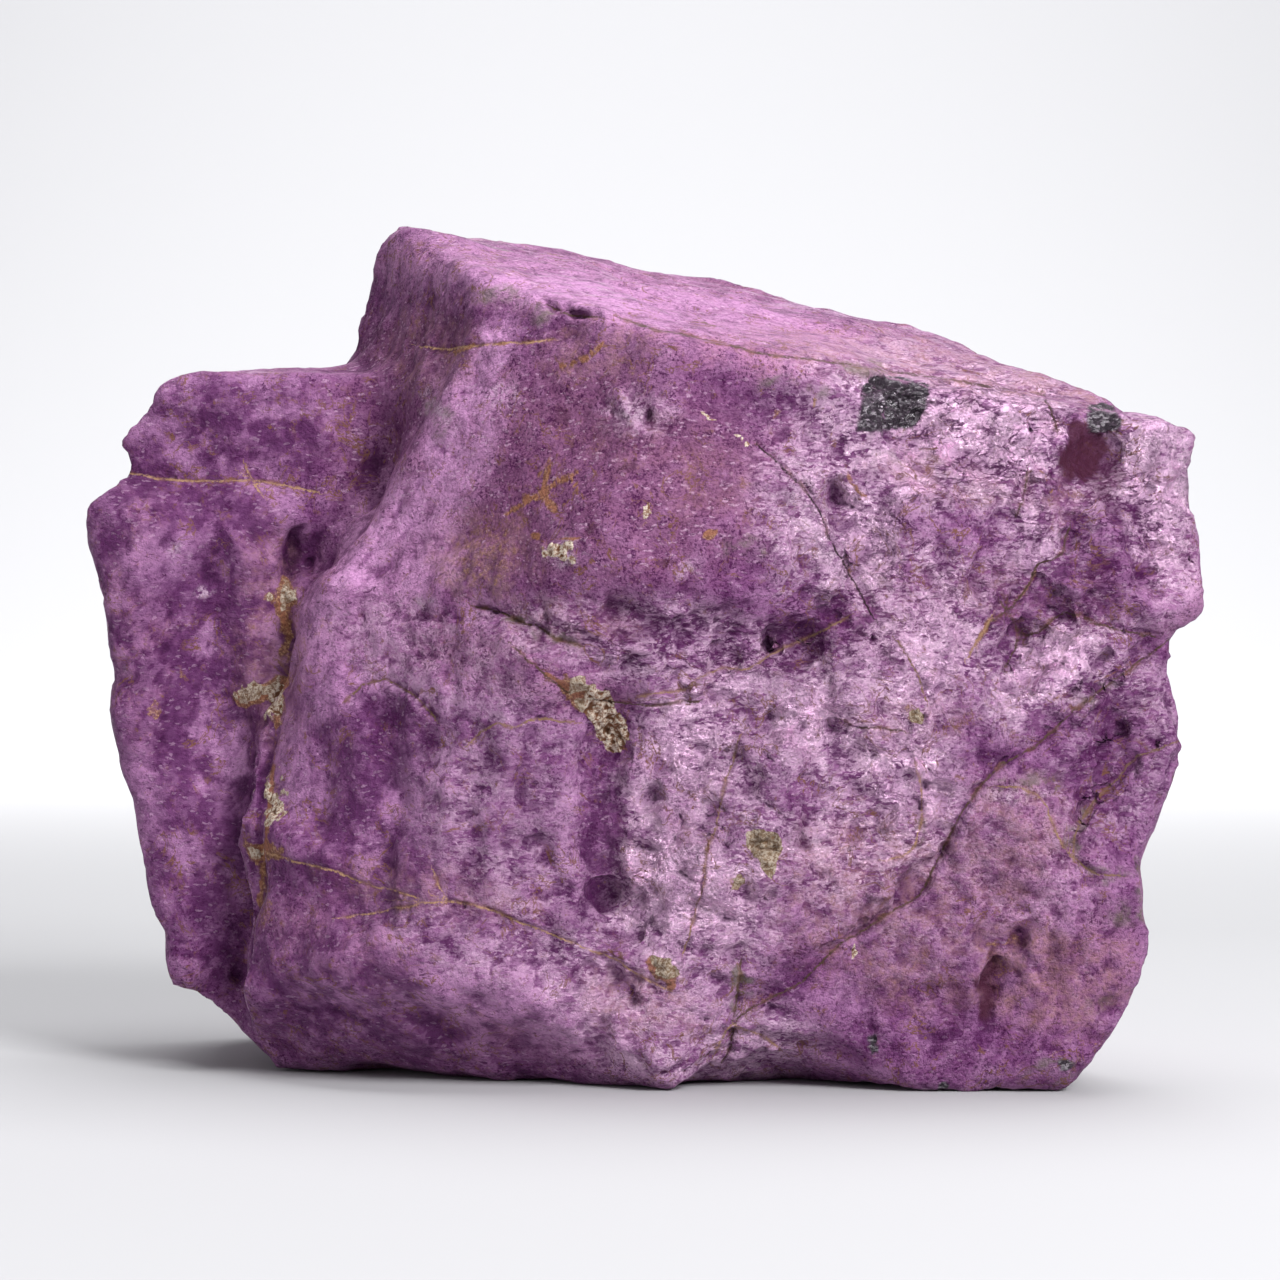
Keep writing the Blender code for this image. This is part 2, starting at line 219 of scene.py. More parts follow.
# %% [markdown]
# ## Lines and patches on the stone
#
# A crack is a line of points across the picture. What counts for a point of the surface is how far it is
# from that line, and on which side. A stain, a hollow or a crust is a patch: an ellipse with a ragged
# edge. With these two shapes, nearly all that a broken stone shows can be placed one by one.
# What is left to chance starts from one fixed number, so every run breaks the same stone.

# %% Measure from lines and patches
CHANCE = 3


def from_line(places, line):
    """How far each place is from a line, below zero on the right of its course, and from the line's ends."""
    nearest = np.full(len(places), np.inf)
    side = np.ones(len(places))
    passed = np.zeros(len(places))
    total = 0.0
    for start, end in zip(line, line[1:]):
        start = np.array(start, float)
        course = np.array(end, float) - start
        length = np.hypot(*course)
        along = np.clip((places - start) @ course / length**2, 0.0, 1.0)
        away = places - start - along[:, None] * course
        distance = np.hypot(away[:, 0], away[:, 1])
        closer = distance < nearest
        turn = course[0] * away[:, 1] - course[1] * away[:, 0]
        nearest = np.where(closer, distance, nearest)
        side = np.where(closer, np.where(turn > 0.0, -1.0, 1.0), side)
        passed = np.where(closer, total + along * length, passed)
        total += length
    return nearest * side, np.minimum(passed, total - passed)


def in_outline(places, outline):
    """How deep each place is inside a closed outline, below zero outside it."""
    inside = np.zeros(len(places), dtype=bool)
    across, down = places[:, 0], places[:, 1]
    for (x0, y0), (x1, y1) in zip(outline, outline[1:] + outline[:1]):
        crosses = (y0 > down) != (y1 > down)
        inside ^= crosses & (across < (x1 - x0) * (down - y0) / ((y1 - y0) or 1e-9) + x0)
    distance = np.abs(from_line(places, outline + outline[:1])[0])
    return np.where(inside, distance, -distance)


def patch(places, middle, radii, turn=0.0):
    """1 at the middle of an ellipse, 0 from its edge outwards. The turn is in degrees, clockwise."""
    away = places - np.array(middle, float)
    angle = math.radians(turn)
    along = away[:, 0] * math.cos(angle) + away[:, 1] * math.sin(angle)
    aside = away[:, 1] * math.cos(angle) - away[:, 0] * math.sin(angle)
    return ease(1.0 - np.hypot(along / radii[0], aside / radii[1]))


def waves(points, size, stretch=(1.0, 1.0, 1.0), start=0.0):
    """Smooth random waves of a size in millimetres, longer along an axis that is stretched."""
    scaled = points / (size * np.array(stretch)) + start
    return np.array([noise.noise(Vector(place)) for place in scaled])


noise.seed_set(CHANCE)


def facets(points, size, tilt, stand):
    """The heights of small broken faces, each tilted its own way and standing off its neighbours."""
    height = np.empty(len(points))
    for index, point in enumerate(points / size):
        place = Vector(point) + noise.noise_vector(Vector(point) * 2.1) * 0.22
        seed = noise.voronoi(place)[1][0]
        lean = noise.cell_vector(seed * 31.7)
        height[index] = (place - seed).dot(lean) * tilt * size + noise.cell(seed * 17.3) * stand
    return height


print("chance starts from", CHANCE)

# %% [markdown]
# ## Where the satin patches are
#
# The right half and the foot of the stone are broken across many small cleavage faces, and these shine
# together. The bulging nose, the left flank and the ledge are closer to matt. The share of satin is a
# mask that both the relief and the material use, so it comes before both.

# %% Place the satin
SATIN = [
    ((950, 430), (170, 90), 8, 1.0), ((1110, 520), (110, 120), 70, 0.9),
    ((835, 540), (70, 110), -25, 0.9), ((940, 620), (120, 90), 0, 0.9), ((790, 700), (150, 70), -12, 1.0),
    ((700, 850), (110, 150), 12, 1.0), ((860, 800), (100, 130), 20, 0.9),
    ((1050, 660), (90, 70), -30, 0.9), ((650, 640), (170, 42), 4, 0.65), ((640, 980), (110, 80), 0, 0.55),
    ((520, 800), (100, 120), 0, 0.35), ((960, 880), (140, 110), 0, 0.3),
    ((1110, 750), (60, 100), 14, 0.8), ((700, 1040), (120, 50), 0, 0.6), ((640, 412), (40, 24), 0, 0.5),
    ((1155, 480), (50, 100), 0, 1.0), ((430, 660), (110, 50), 25, 0.3), ((540, 940), (160, 60), 10, 0.35),
]


def satin_share(points, facings):
    """How much of the surface shines at each point: listed in front, and by chance elsewhere."""
    places = in_picture(points)
    front = towards_eye(points, facings)
    placed = np.zeros(len(points))
    for middle, radii, turn, share in SATIN:
        placed = np.maximum(placed, share * ease(patch(places, middle, np.array(radii) * 1.5, turn) * 1.6))
    chance = ease(0.45 + waves(points, 11.0, start=4.0) * 1.3)
    return np.clip(placed * front + chance * (1.0 - front), 0.0, 1.0)


points, facings = read_points(stone)
satin = satin_share(points, facings)
print("satin covers", round(float((satin > 0.5).mean()) * 100), "% of the points")

# %% [markdown]
# ## The broken grain
#
# A mineral that cleaves badly breaks in small steps. Cells of a Voronoi pattern stand for them: inside
# each cell the surface is one tilted plane, and at its edge it jumps to the next. The points are shaken a
# little before the pattern is asked, or the edges of the cells would be ruler-straight. Three sizes of cell,
# smooth waves and waves folded at zero, which leave sharp crests, together look broken rather than
# kneaded. The smooth hollow at the upper right is left out. The lower left has upright ribs, and the left
# side of the nose has long fibres, so there the waves are stretched. The lower right is matt but lumpy, and
# gets lumps of its own. The top is nearly smooth, with fine lines along it.

# %% Work in the grain
SLANT = np.array([[0.8, 0, 0.6], [0, 1, 0], [-0.6, 0, 0.8]])
SMOOTH_HOLLOW = ((1092, 464), (62, 68))

front = towards_eye(points, facings)
places = in_picture(points)
ribs = patch(places, (450, 850), (250, 230)) * front
fibres = patch(places, (400, 560), (200, 260), 30) * front
lumpy = patch(places, (980, 930), (230, 190)) * front
top = ease((facings[:, 2] - 0.7) / 0.2)

grain = facets(points, 4.4, 0.13, 0.03) * (0.10 + 0.90 * satin) * (1.0 - 0.8 * top)
grain += facets(points, 1.9, 0.29, 0.03) * (0.10 + 0.90 * satin) * (1.0 - 0.7 * top)
grain += facets(points, 0.9, 0.30, 0.03) * (0.18 + 0.82 * satin) * (1.0 - 0.5 * top)
grain += waves(points, 3.2) * (0.16 + 0.20 * satin) * (1.0 - 0.6 * top)
grain -= np.abs(waves(points, 2.3, (1.5, 1.0, 1.0), 12.0)) * (0.13 + 0.80 * satin) * (1.0 - 0.7 * top)
grain += waves(points, 0.9, start=9.0) * 0.07
grain += facets(points, 2.2, 0.24, 0.0) * 0.9 * lumpy - np.abs(waves(points, 1.6, start=33.0)) * 0.5 * lumpy
grain += waves(points, 1.5, (1.0, 1.0, 4.0), 3.0) * 0.34 * ribs
grain += waves(points @ SLANT, 0.8, (1.0, 1.0, 6.0), 7.0) * 0.2 * fibres
grain += waves(points, 1.1, (6.0, 1.0, 2.0), 5.0) * 0.13 * top
grain *= 1.0 - 0.85 * patch(places, *SMOOTH_HOLLOW) * front
push(stone, grain)
print("the grain stands", round(float(np.ptp(grain)), 2), "mm from its deepest to its highest")

# %% [markdown]
# ## The cracks
#
# Each crack is a narrow groove, and on some the stone stands lower on one side. The long one runs from
# the notch in the right edge down to the foot. Their lines were read off the picture. The mesh is
# subdivided once more along them, or a groove of a quarter of a millimetre would fall between its points.
# The grains and crusts get finer faces at the same time, and so they are listed here too. On the sides that
# the picture doesn't show, cracks run where a broad random wave passes through zero.

# %% List the cracks
# Each crack: its line, its half width and depth in mm, and how far its right-hand side lies lower
CRACKS = {
    "long": ([(1168, 640), (1156, 650), (1137, 664), (1106, 686), (1081, 705), (1052, 731), (1037, 745),
              (1010, 760), (992, 773), (975, 793), (962, 812), (950, 832), (942, 852), (931, 872),
              (920, 895), (890, 913), (868, 928), (842, 944), (822, 963), (803, 981), (775, 996),
              (752, 1006), (737, 1020), (733, 1040), (722, 1062)], 0.14, 0.22, 0.35),
    "long_middle": ([(1004, 762), (992, 773), (975, 793), (962, 812), (950, 832), (942, 852), (933, 868)],
                    0.22, 0.42, 0.0),
    "loop": ([(1176, 742), (1163, 748), (1137, 756), (1115, 781), (1094, 803), (1080, 822), (1072, 842),
              (1074, 857), (1086, 868), (1100, 875), (1119, 876)], 0.15, 0.16, 0.30),
    "arc": ([(1000, 786), (1018, 787), (1037, 794), (1048, 808), (1055, 830), (1063, 848), (1074, 860)],
            0.12, 0.08, 0.08),
    "fissure": ([(758, 444), (767, 452), (789, 473), (804, 488), (821, 513), (830, 540), (842, 558),
                 (858, 590), (874, 617)], 0.12, 0.28, -0.12),
    "hairline": ([(898, 642), (908, 657), (920, 676), (926, 700)], 0.08, 0.07, 0.0),
    "slot": ([(478, 607), (492, 611), (506, 614), (517, 620), (534, 624), (548, 634), (557, 639), (580, 645)],
             0.20, 0.50, 0.15),
    "below_slot": ([(515, 649), (532, 663), (548, 677), (566, 690)], 0.12, 0.13, 0.0),
    "chin": ([(470, 742), (480, 732), (498, 723), (515, 728), (530, 720), (552, 719), (572, 722)],
             0.13, 0.14, -0.12),
    "chin_right": ([(640, 697), (656, 693), (684, 690), (700, 678), (720, 669), (748, 669), (768, 656),
                    (790, 645), (820, 632), (846, 618)], 0.11, 0.09, -0.16),
    "upright": ([(742, 735), (737, 746), (731, 766), (725, 786), (718, 812), (717, 824), (707, 852),
                 (703, 878), (698, 902), (691, 930), (684, 953)], 0.12, 0.13, 0.10),
    "star_up": ([(741, 962), (738, 985), (735, 1004), (733, 1024)], 0.22, 0.30, 0.0),
    "star_right": ([(733, 1024), (750, 1030), (766, 1038), (779, 1048)], 0.12, 0.09, 0.0),
    "star_left": ([(733, 1024), (722, 1038), (715, 1052)], 0.12, 0.09, 0.0),
    "seam_upper": ([(263, 852), (282, 858), (304, 863), (334, 871), (356, 880), (374, 886), (393, 890),
                    (416, 897)], 0.14, 0.12, 0.12),
    "seam_lower": ([(341, 917), (362, 915), (393, 909), (422, 904), (452, 901), (476, 906), (493, 910),
                    (528, 924), (559, 937), (590, 950), (615, 960), (640, 974), (664, 987)],
                   0.14, 0.12, 0.16),
    "seam_spur": ([(434, 872), (438, 884), (448, 901)], 0.12, 0.1, 0.0),
    "cross_down": ([(1069, 528), (1062, 553), (1050, 560), (1038, 565), (1030, 580), (1025, 592),
                    (1013, 606), (994, 620)], 0.16, 0.24, 0.0),
    "cross_over": ([(1002, 603), (1012, 620), (1022, 635), (1039, 632), (1052, 620), (1064, 611),
                    (1080, 616), (1095, 623), (1131, 632), (1155, 637)], 0.12, 0.18, 0.10),
    "cross_tail": ([(1022, 635), (1012, 652), (1005, 668)], 0.16, 0.14, 0.0),
    "tan_vein": ([(992, 616), (984, 630), (978, 640), (969, 657)], 0.2, 0.16, 0.0),
    "short_dark": ([(1028, 472), (1027, 482), (1023, 500), (1018, 512)], 0.14, 0.28, 0.0),
    "rim": ([(1043, 392), (1050, 408), (1056, 428)], 0.12, 0.12, 0.0),
    "level": ([(104, 478), (121, 472), (140, 475), (156, 479), (200, 481), (248, 480), (268, 483),
               (284, 484), (317, 492)], 0.18, 0.26, -0.15),
    "level_tick": ([(246, 466), (252, 480), (262, 494)], 0.16, 0.2, 0.0),
    "flank_line": ([(420, 346), (445, 349), (471, 346), (500, 343), (530, 342), (552, 340)], 0.15, 0.2, 0.0),
    "ridge_dip": ([(546, 306), (562, 312), (578, 315), (596, 317)], 0.34, 0.45, 0.0),
    "top_line": ([(620, 318), (660, 330), (700, 338), (760, 352), (830, 362), (900, 372), (960, 382),
                  (1040, 394)], 0.15, 0.16, 0.0),
    "wrinkle_a": ([(842, 720), (860, 727), (882, 728), (903, 731)], 0.10, 0.12, 0.0),
    "wrinkle_b": ([(596, 700), (650, 706), (700, 700)], 0.10, 0.10, 0.0),
    "loop_small": ([(915, 764), (922, 790), (921, 820), (916, 846), (902, 856), (885, 860)], 0.11, 0.06, 0.0),
    "inner_fold": ([(346, 700), (362, 684), (386, 679), (410, 692), (434, 718)], 0.35, 0.30, 0.0),
}
# How much tan filling a crack holds. One that isn't named here holds little and stays dark.
TAN_FILL = {
    "seam_upper": 0.9, "seam_lower": 0.9, "seam_spur": 0.9, "level": 0.8, "level_tick": 0.9, "chin": 0.45,
    "chin_right": 0.55, "loop_small": 0.8, "star_left": 0.6, "star_right": 0.7, "arc": 0.5,
    "upright": 0.55, "fissure": 0.0, "flank_line": 0.9, "tan_vein": 0.7, "loop": 0.35, "hairline": 0.4,
    "inner_fold": 0.3,
}
print(len(CRACKS), "cracks in front")

# %% List the dark grains and the crusts
# Each dark grain: its outline
DARK_GRAINS = [
    [(859, 388), (872, 376), (897, 379), (926, 386), (924, 408), (910, 430), (880, 432), (853, 433), (857,
     412)], 
    [(1083, 407), (1097, 404), (1109, 410), (1118, 421), (1114, 432), (1086, 434), (1082, 420)],
    [(936, 1083), (944, 1082), (948, 1092), (934, 1094)],
    [(864, 1036), (872, 1034), (876, 1052), (868, 1056)],
    [(1054, 1062), (1064, 1060), (1070, 1068), (1058, 1072)],
]
# Each crust: its middle, its radii, its turn, its height, and how brown it is
CRUSTS = [
    ((584, 692), (12, 8), 30, 0.22, 0.8), ((612, 734), (12, 14), -20, 0.35, 0.2),
    ((558, 551), (17, 9), 12, 0.22, 0.0), ((653, 508), (7, 7), 0, 0.22, 0.1),
    ((706, 420), (11, 3), 25, 0.16, 0.0), ((738, 437), (14, 3), 22, 0.16, 0.0),
    ((278, 704), (9, 19), 0, 0.3, 0.1), ((262, 692), (20, 8), -15, 0.22, 0.6),
    ((283, 596), (9, 11), 0, 0.2, 0.6), ((275, 800), (10, 22), 0, 0.16, 0.3),
    ((263, 850), (10, 7), 0, 0.16, 0.4), ((661, 968), (13, 10), 0, 0.12, 0.9),
    ((733, 884), (9, 5), -30, 0.14, 1.0), ((850, 954), (5, 8), 0, 0.14, 0.2),
    ((743, 848), (4, 6), 0, 0.1, 0.0),
]
# Each larger crust: its outline, its height and how brown it is
CRUST_OUTLINES = [
    ([(742, 833), (755, 829), (776, 834), (781, 848), (776, 862), (772, 882), (763, 872), (751, 857),
     (743, 846)], 0.22, 0.85), 
    ([(578, 706), (589, 687), (609, 692), (614, 706), (625, 722), (624, 741), (617, 752), (605, 746),
     (594, 730), (585, 718)], 0.38, 0.1), 
    ([(905, 713), (917, 707), (921, 717), (917, 726), (907, 722)], 0.2, 1.0),
]

print(len(DARK_GRAINS), "dark grains and", len(CRUSTS) + len(CRUST_OUTLINES), "crusts")

# %% [markdown]
# A point counts as near when it is within a third of a millimetre of a crack's edge, or on a grain or a
# crust. Only those faces are cut again, which keeps the whole surface light.

# %% Subdivide along the cracks and on the grains
NEAR = 0.36

points, facings = read_points(stone)
places = in_picture(points)
nearest = np.full(len(points), np.inf)
for line, half_width, depth, drop in CRACKS.values():
    nearest = np.minimum(nearest, in_mm(np.abs(from_line(places, line)[0])) - half_width)
for middle, radii, turn, rise, brown in CRUSTS:
    nearest = np.where(patch(places, middle, np.array(radii) * 1.5, turn) > 0.0, 0.0, nearest)
for outline in [crust[0] for crust in CRUST_OUTLINES] + DARK_GRAINS:
    nearest = np.where(in_outline(places, outline) > -6.0, 0.0, nearest)
subdivide_where(stone, (nearest < NEAR) & (towards_eye(points, facings) > 0.2))
print("with finer cracks and crusts:", len(stone.data.polygons), "faces")

# %% [markdown]
# The groove of a crack is a bell curve, and its step fades out over a few millimetres and at its two ends.
# A slow random wave makes the line wander, and another one makes it deeper here and shallower there.

# %% Press the cracks in
def chance_crack(points):
    """How far each point is, in millimetres, from a crack left to chance: where a broad wave passes zero."""
    gap = waves(points, 10.0, start=80.0) * 8.0
    return np.where(waves(points, 8.0, start=90.0) > -0.05, gap, 9.0)


points, facings = read_points(stone)
places = in_picture(points)
front = towards_eye(points, facings)
wander = waves(points, 1.3, start=2.0) * 0.10 + waves(points, 0.5, start=6.0) * 0.05
unevenly = 0.75 + waves(points, 2.2, start=1.0) * 0.6
groove = np.zeros(len(points))
steps = np.zeros(len(points))
for line, half_width, depth, drop in CRACKS.values():
    gap, inset = from_line(places, line)
    side = in_mm(gap) + wander
    groove = np.maximum(groove, 0.7 * depth * np.exp(-((side / (0.65 * half_width)) ** 2)))
    steps += 0.5 * drop * np.tanh(side / 0.12) * ease(1.0 - np.abs(side) / 2.6) * ease(in_mm(inset) / 1.5)
away = 0.22 * np.exp(-((chance_crack(points) / 0.24) ** 2)) * ease((0.4 - front) * 3.0)
push(stone, (steps - groove * unevenly) * front - away)
print("the deepest crack is", round(float((groove * unevenly).max()), 2), "mm deep")

# %% [markdown]
# ## Hollows, grains and crusts
#
# Between the cracks there are dark hollows where grains have come out, two angular grains of a near-black
# mineral near the upper edge, and crusts of a cream one. A grain keeps its own outline and stands a
# little off the stone with a rough face, while a crust is a heap of small knobs.

# %% List the folds and the hollows
# Each fold: its line, its half width and its depth in mm
FOLDS = [
    ([(300, 540), (290, 562), (283, 592), (285, 620), (289, 662), (276, 706), (263, 760), (257, 849),
     (256, 893), (244, 940), (238, 975)], 0.4, 0.75), 
    ([(1069, 530), (1040, 600), (1022, 640), (1006, 700)], 0.7, 0.4),
    ([(1022, 638), (1090, 618), (1150, 640)], 0.45, 0.3),
    ([(620, 612), (700, 640), (770, 645), (830, 612), (868, 560)], 0.9, 0.45),
    ([(210, 500), (214, 600), (236, 700), (242, 860)], 1.1, 0.6),
    ([(340, 430), (310, 490), (262, 530)], 1.0, 0.25), ([(380, 300), (398, 400), (352, 500)], 1.1, 0.4),
    ([(604, 740), (598, 830), (590, 900)], 0.8, 0.6), ([(440, 740), (430, 830), (450, 900)], 0.7, 0.35),
    ([(330, 740), (322, 830), (330, 900)], 0.7, 0.3), ([(530, 730), (524, 800), (540, 880)], 0.6, 0.25),
    ([(940, 540), (925, 600), (900, 660)], 0.6, 0.25), ([(660, 760), (650, 850), (660, 940)], 0.5, 0.22),
    ([(760, 740), (742, 820), (735, 900)], 0.55, 0.28), ([(880, 650), (866, 720), (850, 780)], 0.5, 0.22),
    ([(1010, 650), (1030, 690), (1040, 730)], 0.4, 0.3),
    ([(960, 650), (980, 700), (975, 750)], 0.4, 0.28),
    ([(240, 960), (320, 1000), (460, 1030), (600, 1030)], 0.9, 0.45),
    ([(1110, 690), (1100, 760), (1075, 820)], 1.0, 0.35),
]
# Each hollow: its middle, its radii and turn in the picture, and its depth in mm
HOLLOWS = [
    ((567, 889), (14, 18), 0, 0.4), ((604, 885), (18, 30), 0, 0.25), ((1092, 464), (36, 42), 30, 0.6),
    ((1005, 668), (8, 12), 0, 0.2), ((822, 609), (14, 14), 20, 0.25), ((1142, 580), (20, 44), 12, 0.15),
    ((644, 412), (7, 11), 8, 0.6), ((988, 992), (12, 44), 4, 0.7), ((1018, 935), (12, 18), 40, 0.4),
    ((800, 650), (34, 24), 25, 0.5), ((770, 690), (14, 10), 0, 0.2), ((825, 735), (10, 22), 8, 0.4),
    ((1105, 730), (18, 60), 16, 0.25), ((1090, 800), (16, 40), 30, 0.3), ((1160, 700), (10, 40), 8, 0.3),
    ((440, 320), (24, 60), 5, 0.5), ((470, 380), (14, 34), 12, 0.3), ((380, 715), (40, 20), 25, 0.2),
    ((300, 1010), (60, 20), 14, 0.3), ((470, 1000), (30, 14), 20, 0.3), ((862, 1028), (12, 18), 0, 0.4),
    ((930, 1040), (24, 16), 0, 0.4), ((770, 1000), (26, 18), 0, 0.3), ((566, 312), (26, 7), 6, 0.5),
    ((915, 600), (20, 12), 20, 0.25), ((700, 745), (16, 12), 0, 0.25), ((745, 610), (18, 10), 0, 0.2),
    ((690, 590), (14, 10), 0, 0.2), ((1075, 940), (16, 24), 0, 0.3), ((1100, 1010), (14, 16), 0, 0.4),
]
# Each swelling, in the same way, with its height
SWELLINGS = [
    ((700, 830), (44, 110), 8, 0.5), ((780, 760), (30, 60), 12, 0.4), ((860, 700), (40, 44), 0, 0.4),
    ((1052, 668), (22, 34), 20, 0.6), ((968, 700), (30, 24), 0, 0.3), ((905, 505), (40, 30), 20, 0.4),
    ((1020, 450), (36, 30), 0, 0.3), ((1180, 600), (24, 30), 0, 0.4), ((640, 540), (110, 80), 0, 0.3),
    ((190, 970), (14, 14), 0, 0.7), ((1140, 548), (28, 32), 0, 0.35), ((150, 640), (22, 120), 2, 0.4),
    ((1040, 850), (40, 44), 0, 0.4), ((560, 1000), (70, 30), 6, 0.4), ((780, 690), (26, 18), 10, 0.3),
    ((690, 1010), (40, 26), 0, 0.3), ((890, 650), (30, 20), -20, 0.3), ((1130, 950), (24, 40), 10, 0.3),
    ((360, 950), (50, 24), 10, 0.3),
]

print(len(FOLDS), "folds,", len(HOLLOWS), "hollows and", len(SWELLINGS), "swellings")

# %% Press in the folds and the hollows
points, facings = read_points(stone)
places = in_picture(points)
front = towards_eye(points, facings)
ragged = np.stack([waves(points, 1.4, start=3.0), waves(points, 1.4, start=8.0)], axis=1) * 14.0
ragged += np.stack([waves(points, 0.45, start=13.0), waves(points, 0.45, start=18.0)], axis=1) * 9.0
relief = np.zeros(len(points))
soft_wander = waves(points, 2.4, start=5.0) * 0.5
fold = np.zeros(len(points))
for line, half_width, depth in FOLDS:
    side = in_mm(from_line(places, line)[0]) + soft_wander
    fold = np.maximum(fold, 0.6 * depth * np.exp(-((side / half_width) ** 2)))
relief -= fold * front * (0.8 + waves(points, 3.0, start=11.0))
for middle, radii, turn, depth in HOLLOWS:
    relief -= depth * patch(places + ragged * 0.5, middle, np.array(radii) * 1.4, turn) * front
for middle, radii, turn, rise in SWELLINGS:
    relief += rise * patch(places + ragged, middle, np.array(radii) * 1.35, turn) * front
push(stone, relief)
print("they reach from", round(float(relief.min()), 2), "to", round(float(relief.max()), 2), "mm")

# %% Set in the dark grains and the crusts
points, facings = read_points(stone)
places = in_picture(points)
front = towards_eye(points, facings)
dark = np.zeros(len(points))
for outline in DARK_GRAINS:
    dark = np.maximum(dark, ease(in_mm(in_outline(places + ragged * 0.12, outline)) / 0.10 + 0.5))
dark *= ease((front - 0.25) * 3.0)
crust = np.zeros(len(points))
crust_rise = np.zeros(len(points))
crust_tone = np.zeros(len(points))
shares = [(ease(patch(places + ragged, middle, np.array(radii) * 1.5, turn) * 1.8), rise, brown)
          for middle, radii, turn, rise, brown in CRUSTS]
shares += [(ease(in_mm(in_outline(places + ragged * 0.2, outline)) / 0.25 + 0.5), rise, brown)
           for outline, rise, brown in CRUST_OUTLINES]
for share, rise, brown in shares:
    crust_tone = np.where(share > crust, brown, crust_tone)
    crust = np.maximum(crust, share * front)
    crust_rise = np.maximum(crust_rise, share * front * rise)
knobs = facets(points, 0.7, 0.5, 0.2) * 0.6 + facets(points, 0.32, 0.5, 0.22) * 0.5
rough_face = facets(points, 0.8, 0.35, 0.12) + facets(points, 0.35, 0.4, 0.08)
push(stone, crust_rise * (0.4 + knobs * 3.5) + dark * rough_face)
print(len(DARK_GRAINS), "dark grains and", len(shares), "crusts")

# %% [markdown]
# ## Wear
#
# Pushing each point along its own facing leaves many small spikes, which would glitter and make a crumbly
# outline. On the real stone such corners have long broken off. A point that stands out from the average of
# its neighbours is pushed back, in a few rounds. Then the rim, where the surface turns away from the camera,
# is smoothed a little, and the notch in the right edge more, because several steps meet there.

# %% Wear down the sharp points
STANDS_OUT = 0.045
PUSHED_BACK = 0.8
WEAR_ROUNDS = 4
RIM_ROUNDS = 3
NOTCH_ROUNDS = 14
MOST_SMOOTHED = 0.7
NOTCH = ((1170, 656), (30, 30))


def neighbours(thing):
    """The two ends of each edge, and how many edges meet at each point."""
    edges = np.empty(len(thing.data.edges) * 2, dtype=int)
    thing.data.edges.foreach_get("vertices", edges)
    first, second = edges.reshape(-1, 2).T
    count = len(thing.data.vertices)
    return first, second, np.bincount(first, minlength=count) + np.bincount(second, minlength=count)


def averaged(values, first, second, degree):
    """The average of each point's neighbours."""
    count = len(degree)
    total = [np.bincount(first, values[second, axis], count) + np.bincount(second, values[first, axis], count)
             for axis in range(3)]
    return np.stack(total, axis=1) / np.maximum(degree, 1)[:, None]


first, second, degree = neighbours(stone)
for turn in range(WEAR_ROUNDS):
    points, facings = read_points(stone)
    standing = ((points - averaged(points, first, second, degree)) * facings).sum(axis=1)
    push(stone, -PUSHED_BACK * np.maximum(standing - STANDS_OUT, 0.0))
    if turn == 0:
        print(int((standing > STANDS_OUT).sum()), "points stood out")
points, facings = read_points(stone)
front = towards_eye(points, facings)
rim = np.clip(3.0 * front * (1.0 - front), 0.0, MOST_SMOOTHED)
notch = np.clip(patch(in_picture(points), *NOTCH) * 1.5, 0.0, MOST_SMOOTHED)
for share in [rim] * RIM_ROUNDS + [notch] * NOTCH_ROUNDS:
    points += share[:, None] * (averaged(points, first, second, degree) - points)
stone.data.vertices.foreach_set("co", (points / 1000).ravel())
stone.data.update()

# %% [markdown]
# ## Back into the size of the solid
#
# The relief pushed some points past the solid. The underside is held at the level of the floor, so that
# the stone still rests on its flat spot, and the rest is fitted back to the solid's length, depth and
# height. That is a change of less than one per cent, too little to see.

# %% Fit the surface to the solid
points, facings = read_points(stone)
points[:, 2] = np.maximum(points[:, 2], 0.0)
wanted_low = np.array(solid_low) * 1000
wanted_high = np.array(solid_high) * 1000
pushed = np.ptp(points, axis=0)
share = (points - points.min(axis=0)) / pushed
points = wanted_low + share * (wanted_high - wanted_low)
print("fitting changes each side by", (100 * (wanted_high - wanted_low) / pushed - 100).round(2), "%")
stone.data.vertices.foreach_set("co", (points / 1000).ravel())
stone.data.update()
print("the surface is", np.ptp(points, axis=0).round(2), "mm")

# %% [markdown]
# ## Masks on the points
#
# The material needs to know where the cracks, stains, crusts and hollows are. These are stored as
# attributes: one number on each point of the mesh. They travel with the stone, unlike a picture that is
# projected on it. How hollow a point lies is measured on the finished relief: the mesh is smoothed in
# numbers only, and what the smoothing would fill up is a hollow. Everything else is a list of patches: on
# the sides that the picture doesn't show, random waves take the lists' place.

# %% Measure how hollow each point lies
def hollowness(thing, rounds):
    """How far smoothing would lift each point, in millimetres: above zero in a hollow."""
    points, facings = read_points(thing)
    smooth = points.copy()
    for turn in range(rounds):
        smooth = 0.4 * smooth + 0.6 * averaged(smooth, first, second, degree)
    return ((smooth - points) * facings).sum(axis=1)


fine_hollow = hollowness(stone, 4)
broad_hollow = hollowness(stone, 40)
print("broad hollows reach", round(float(broad_hollow.max()), 2), "mm")
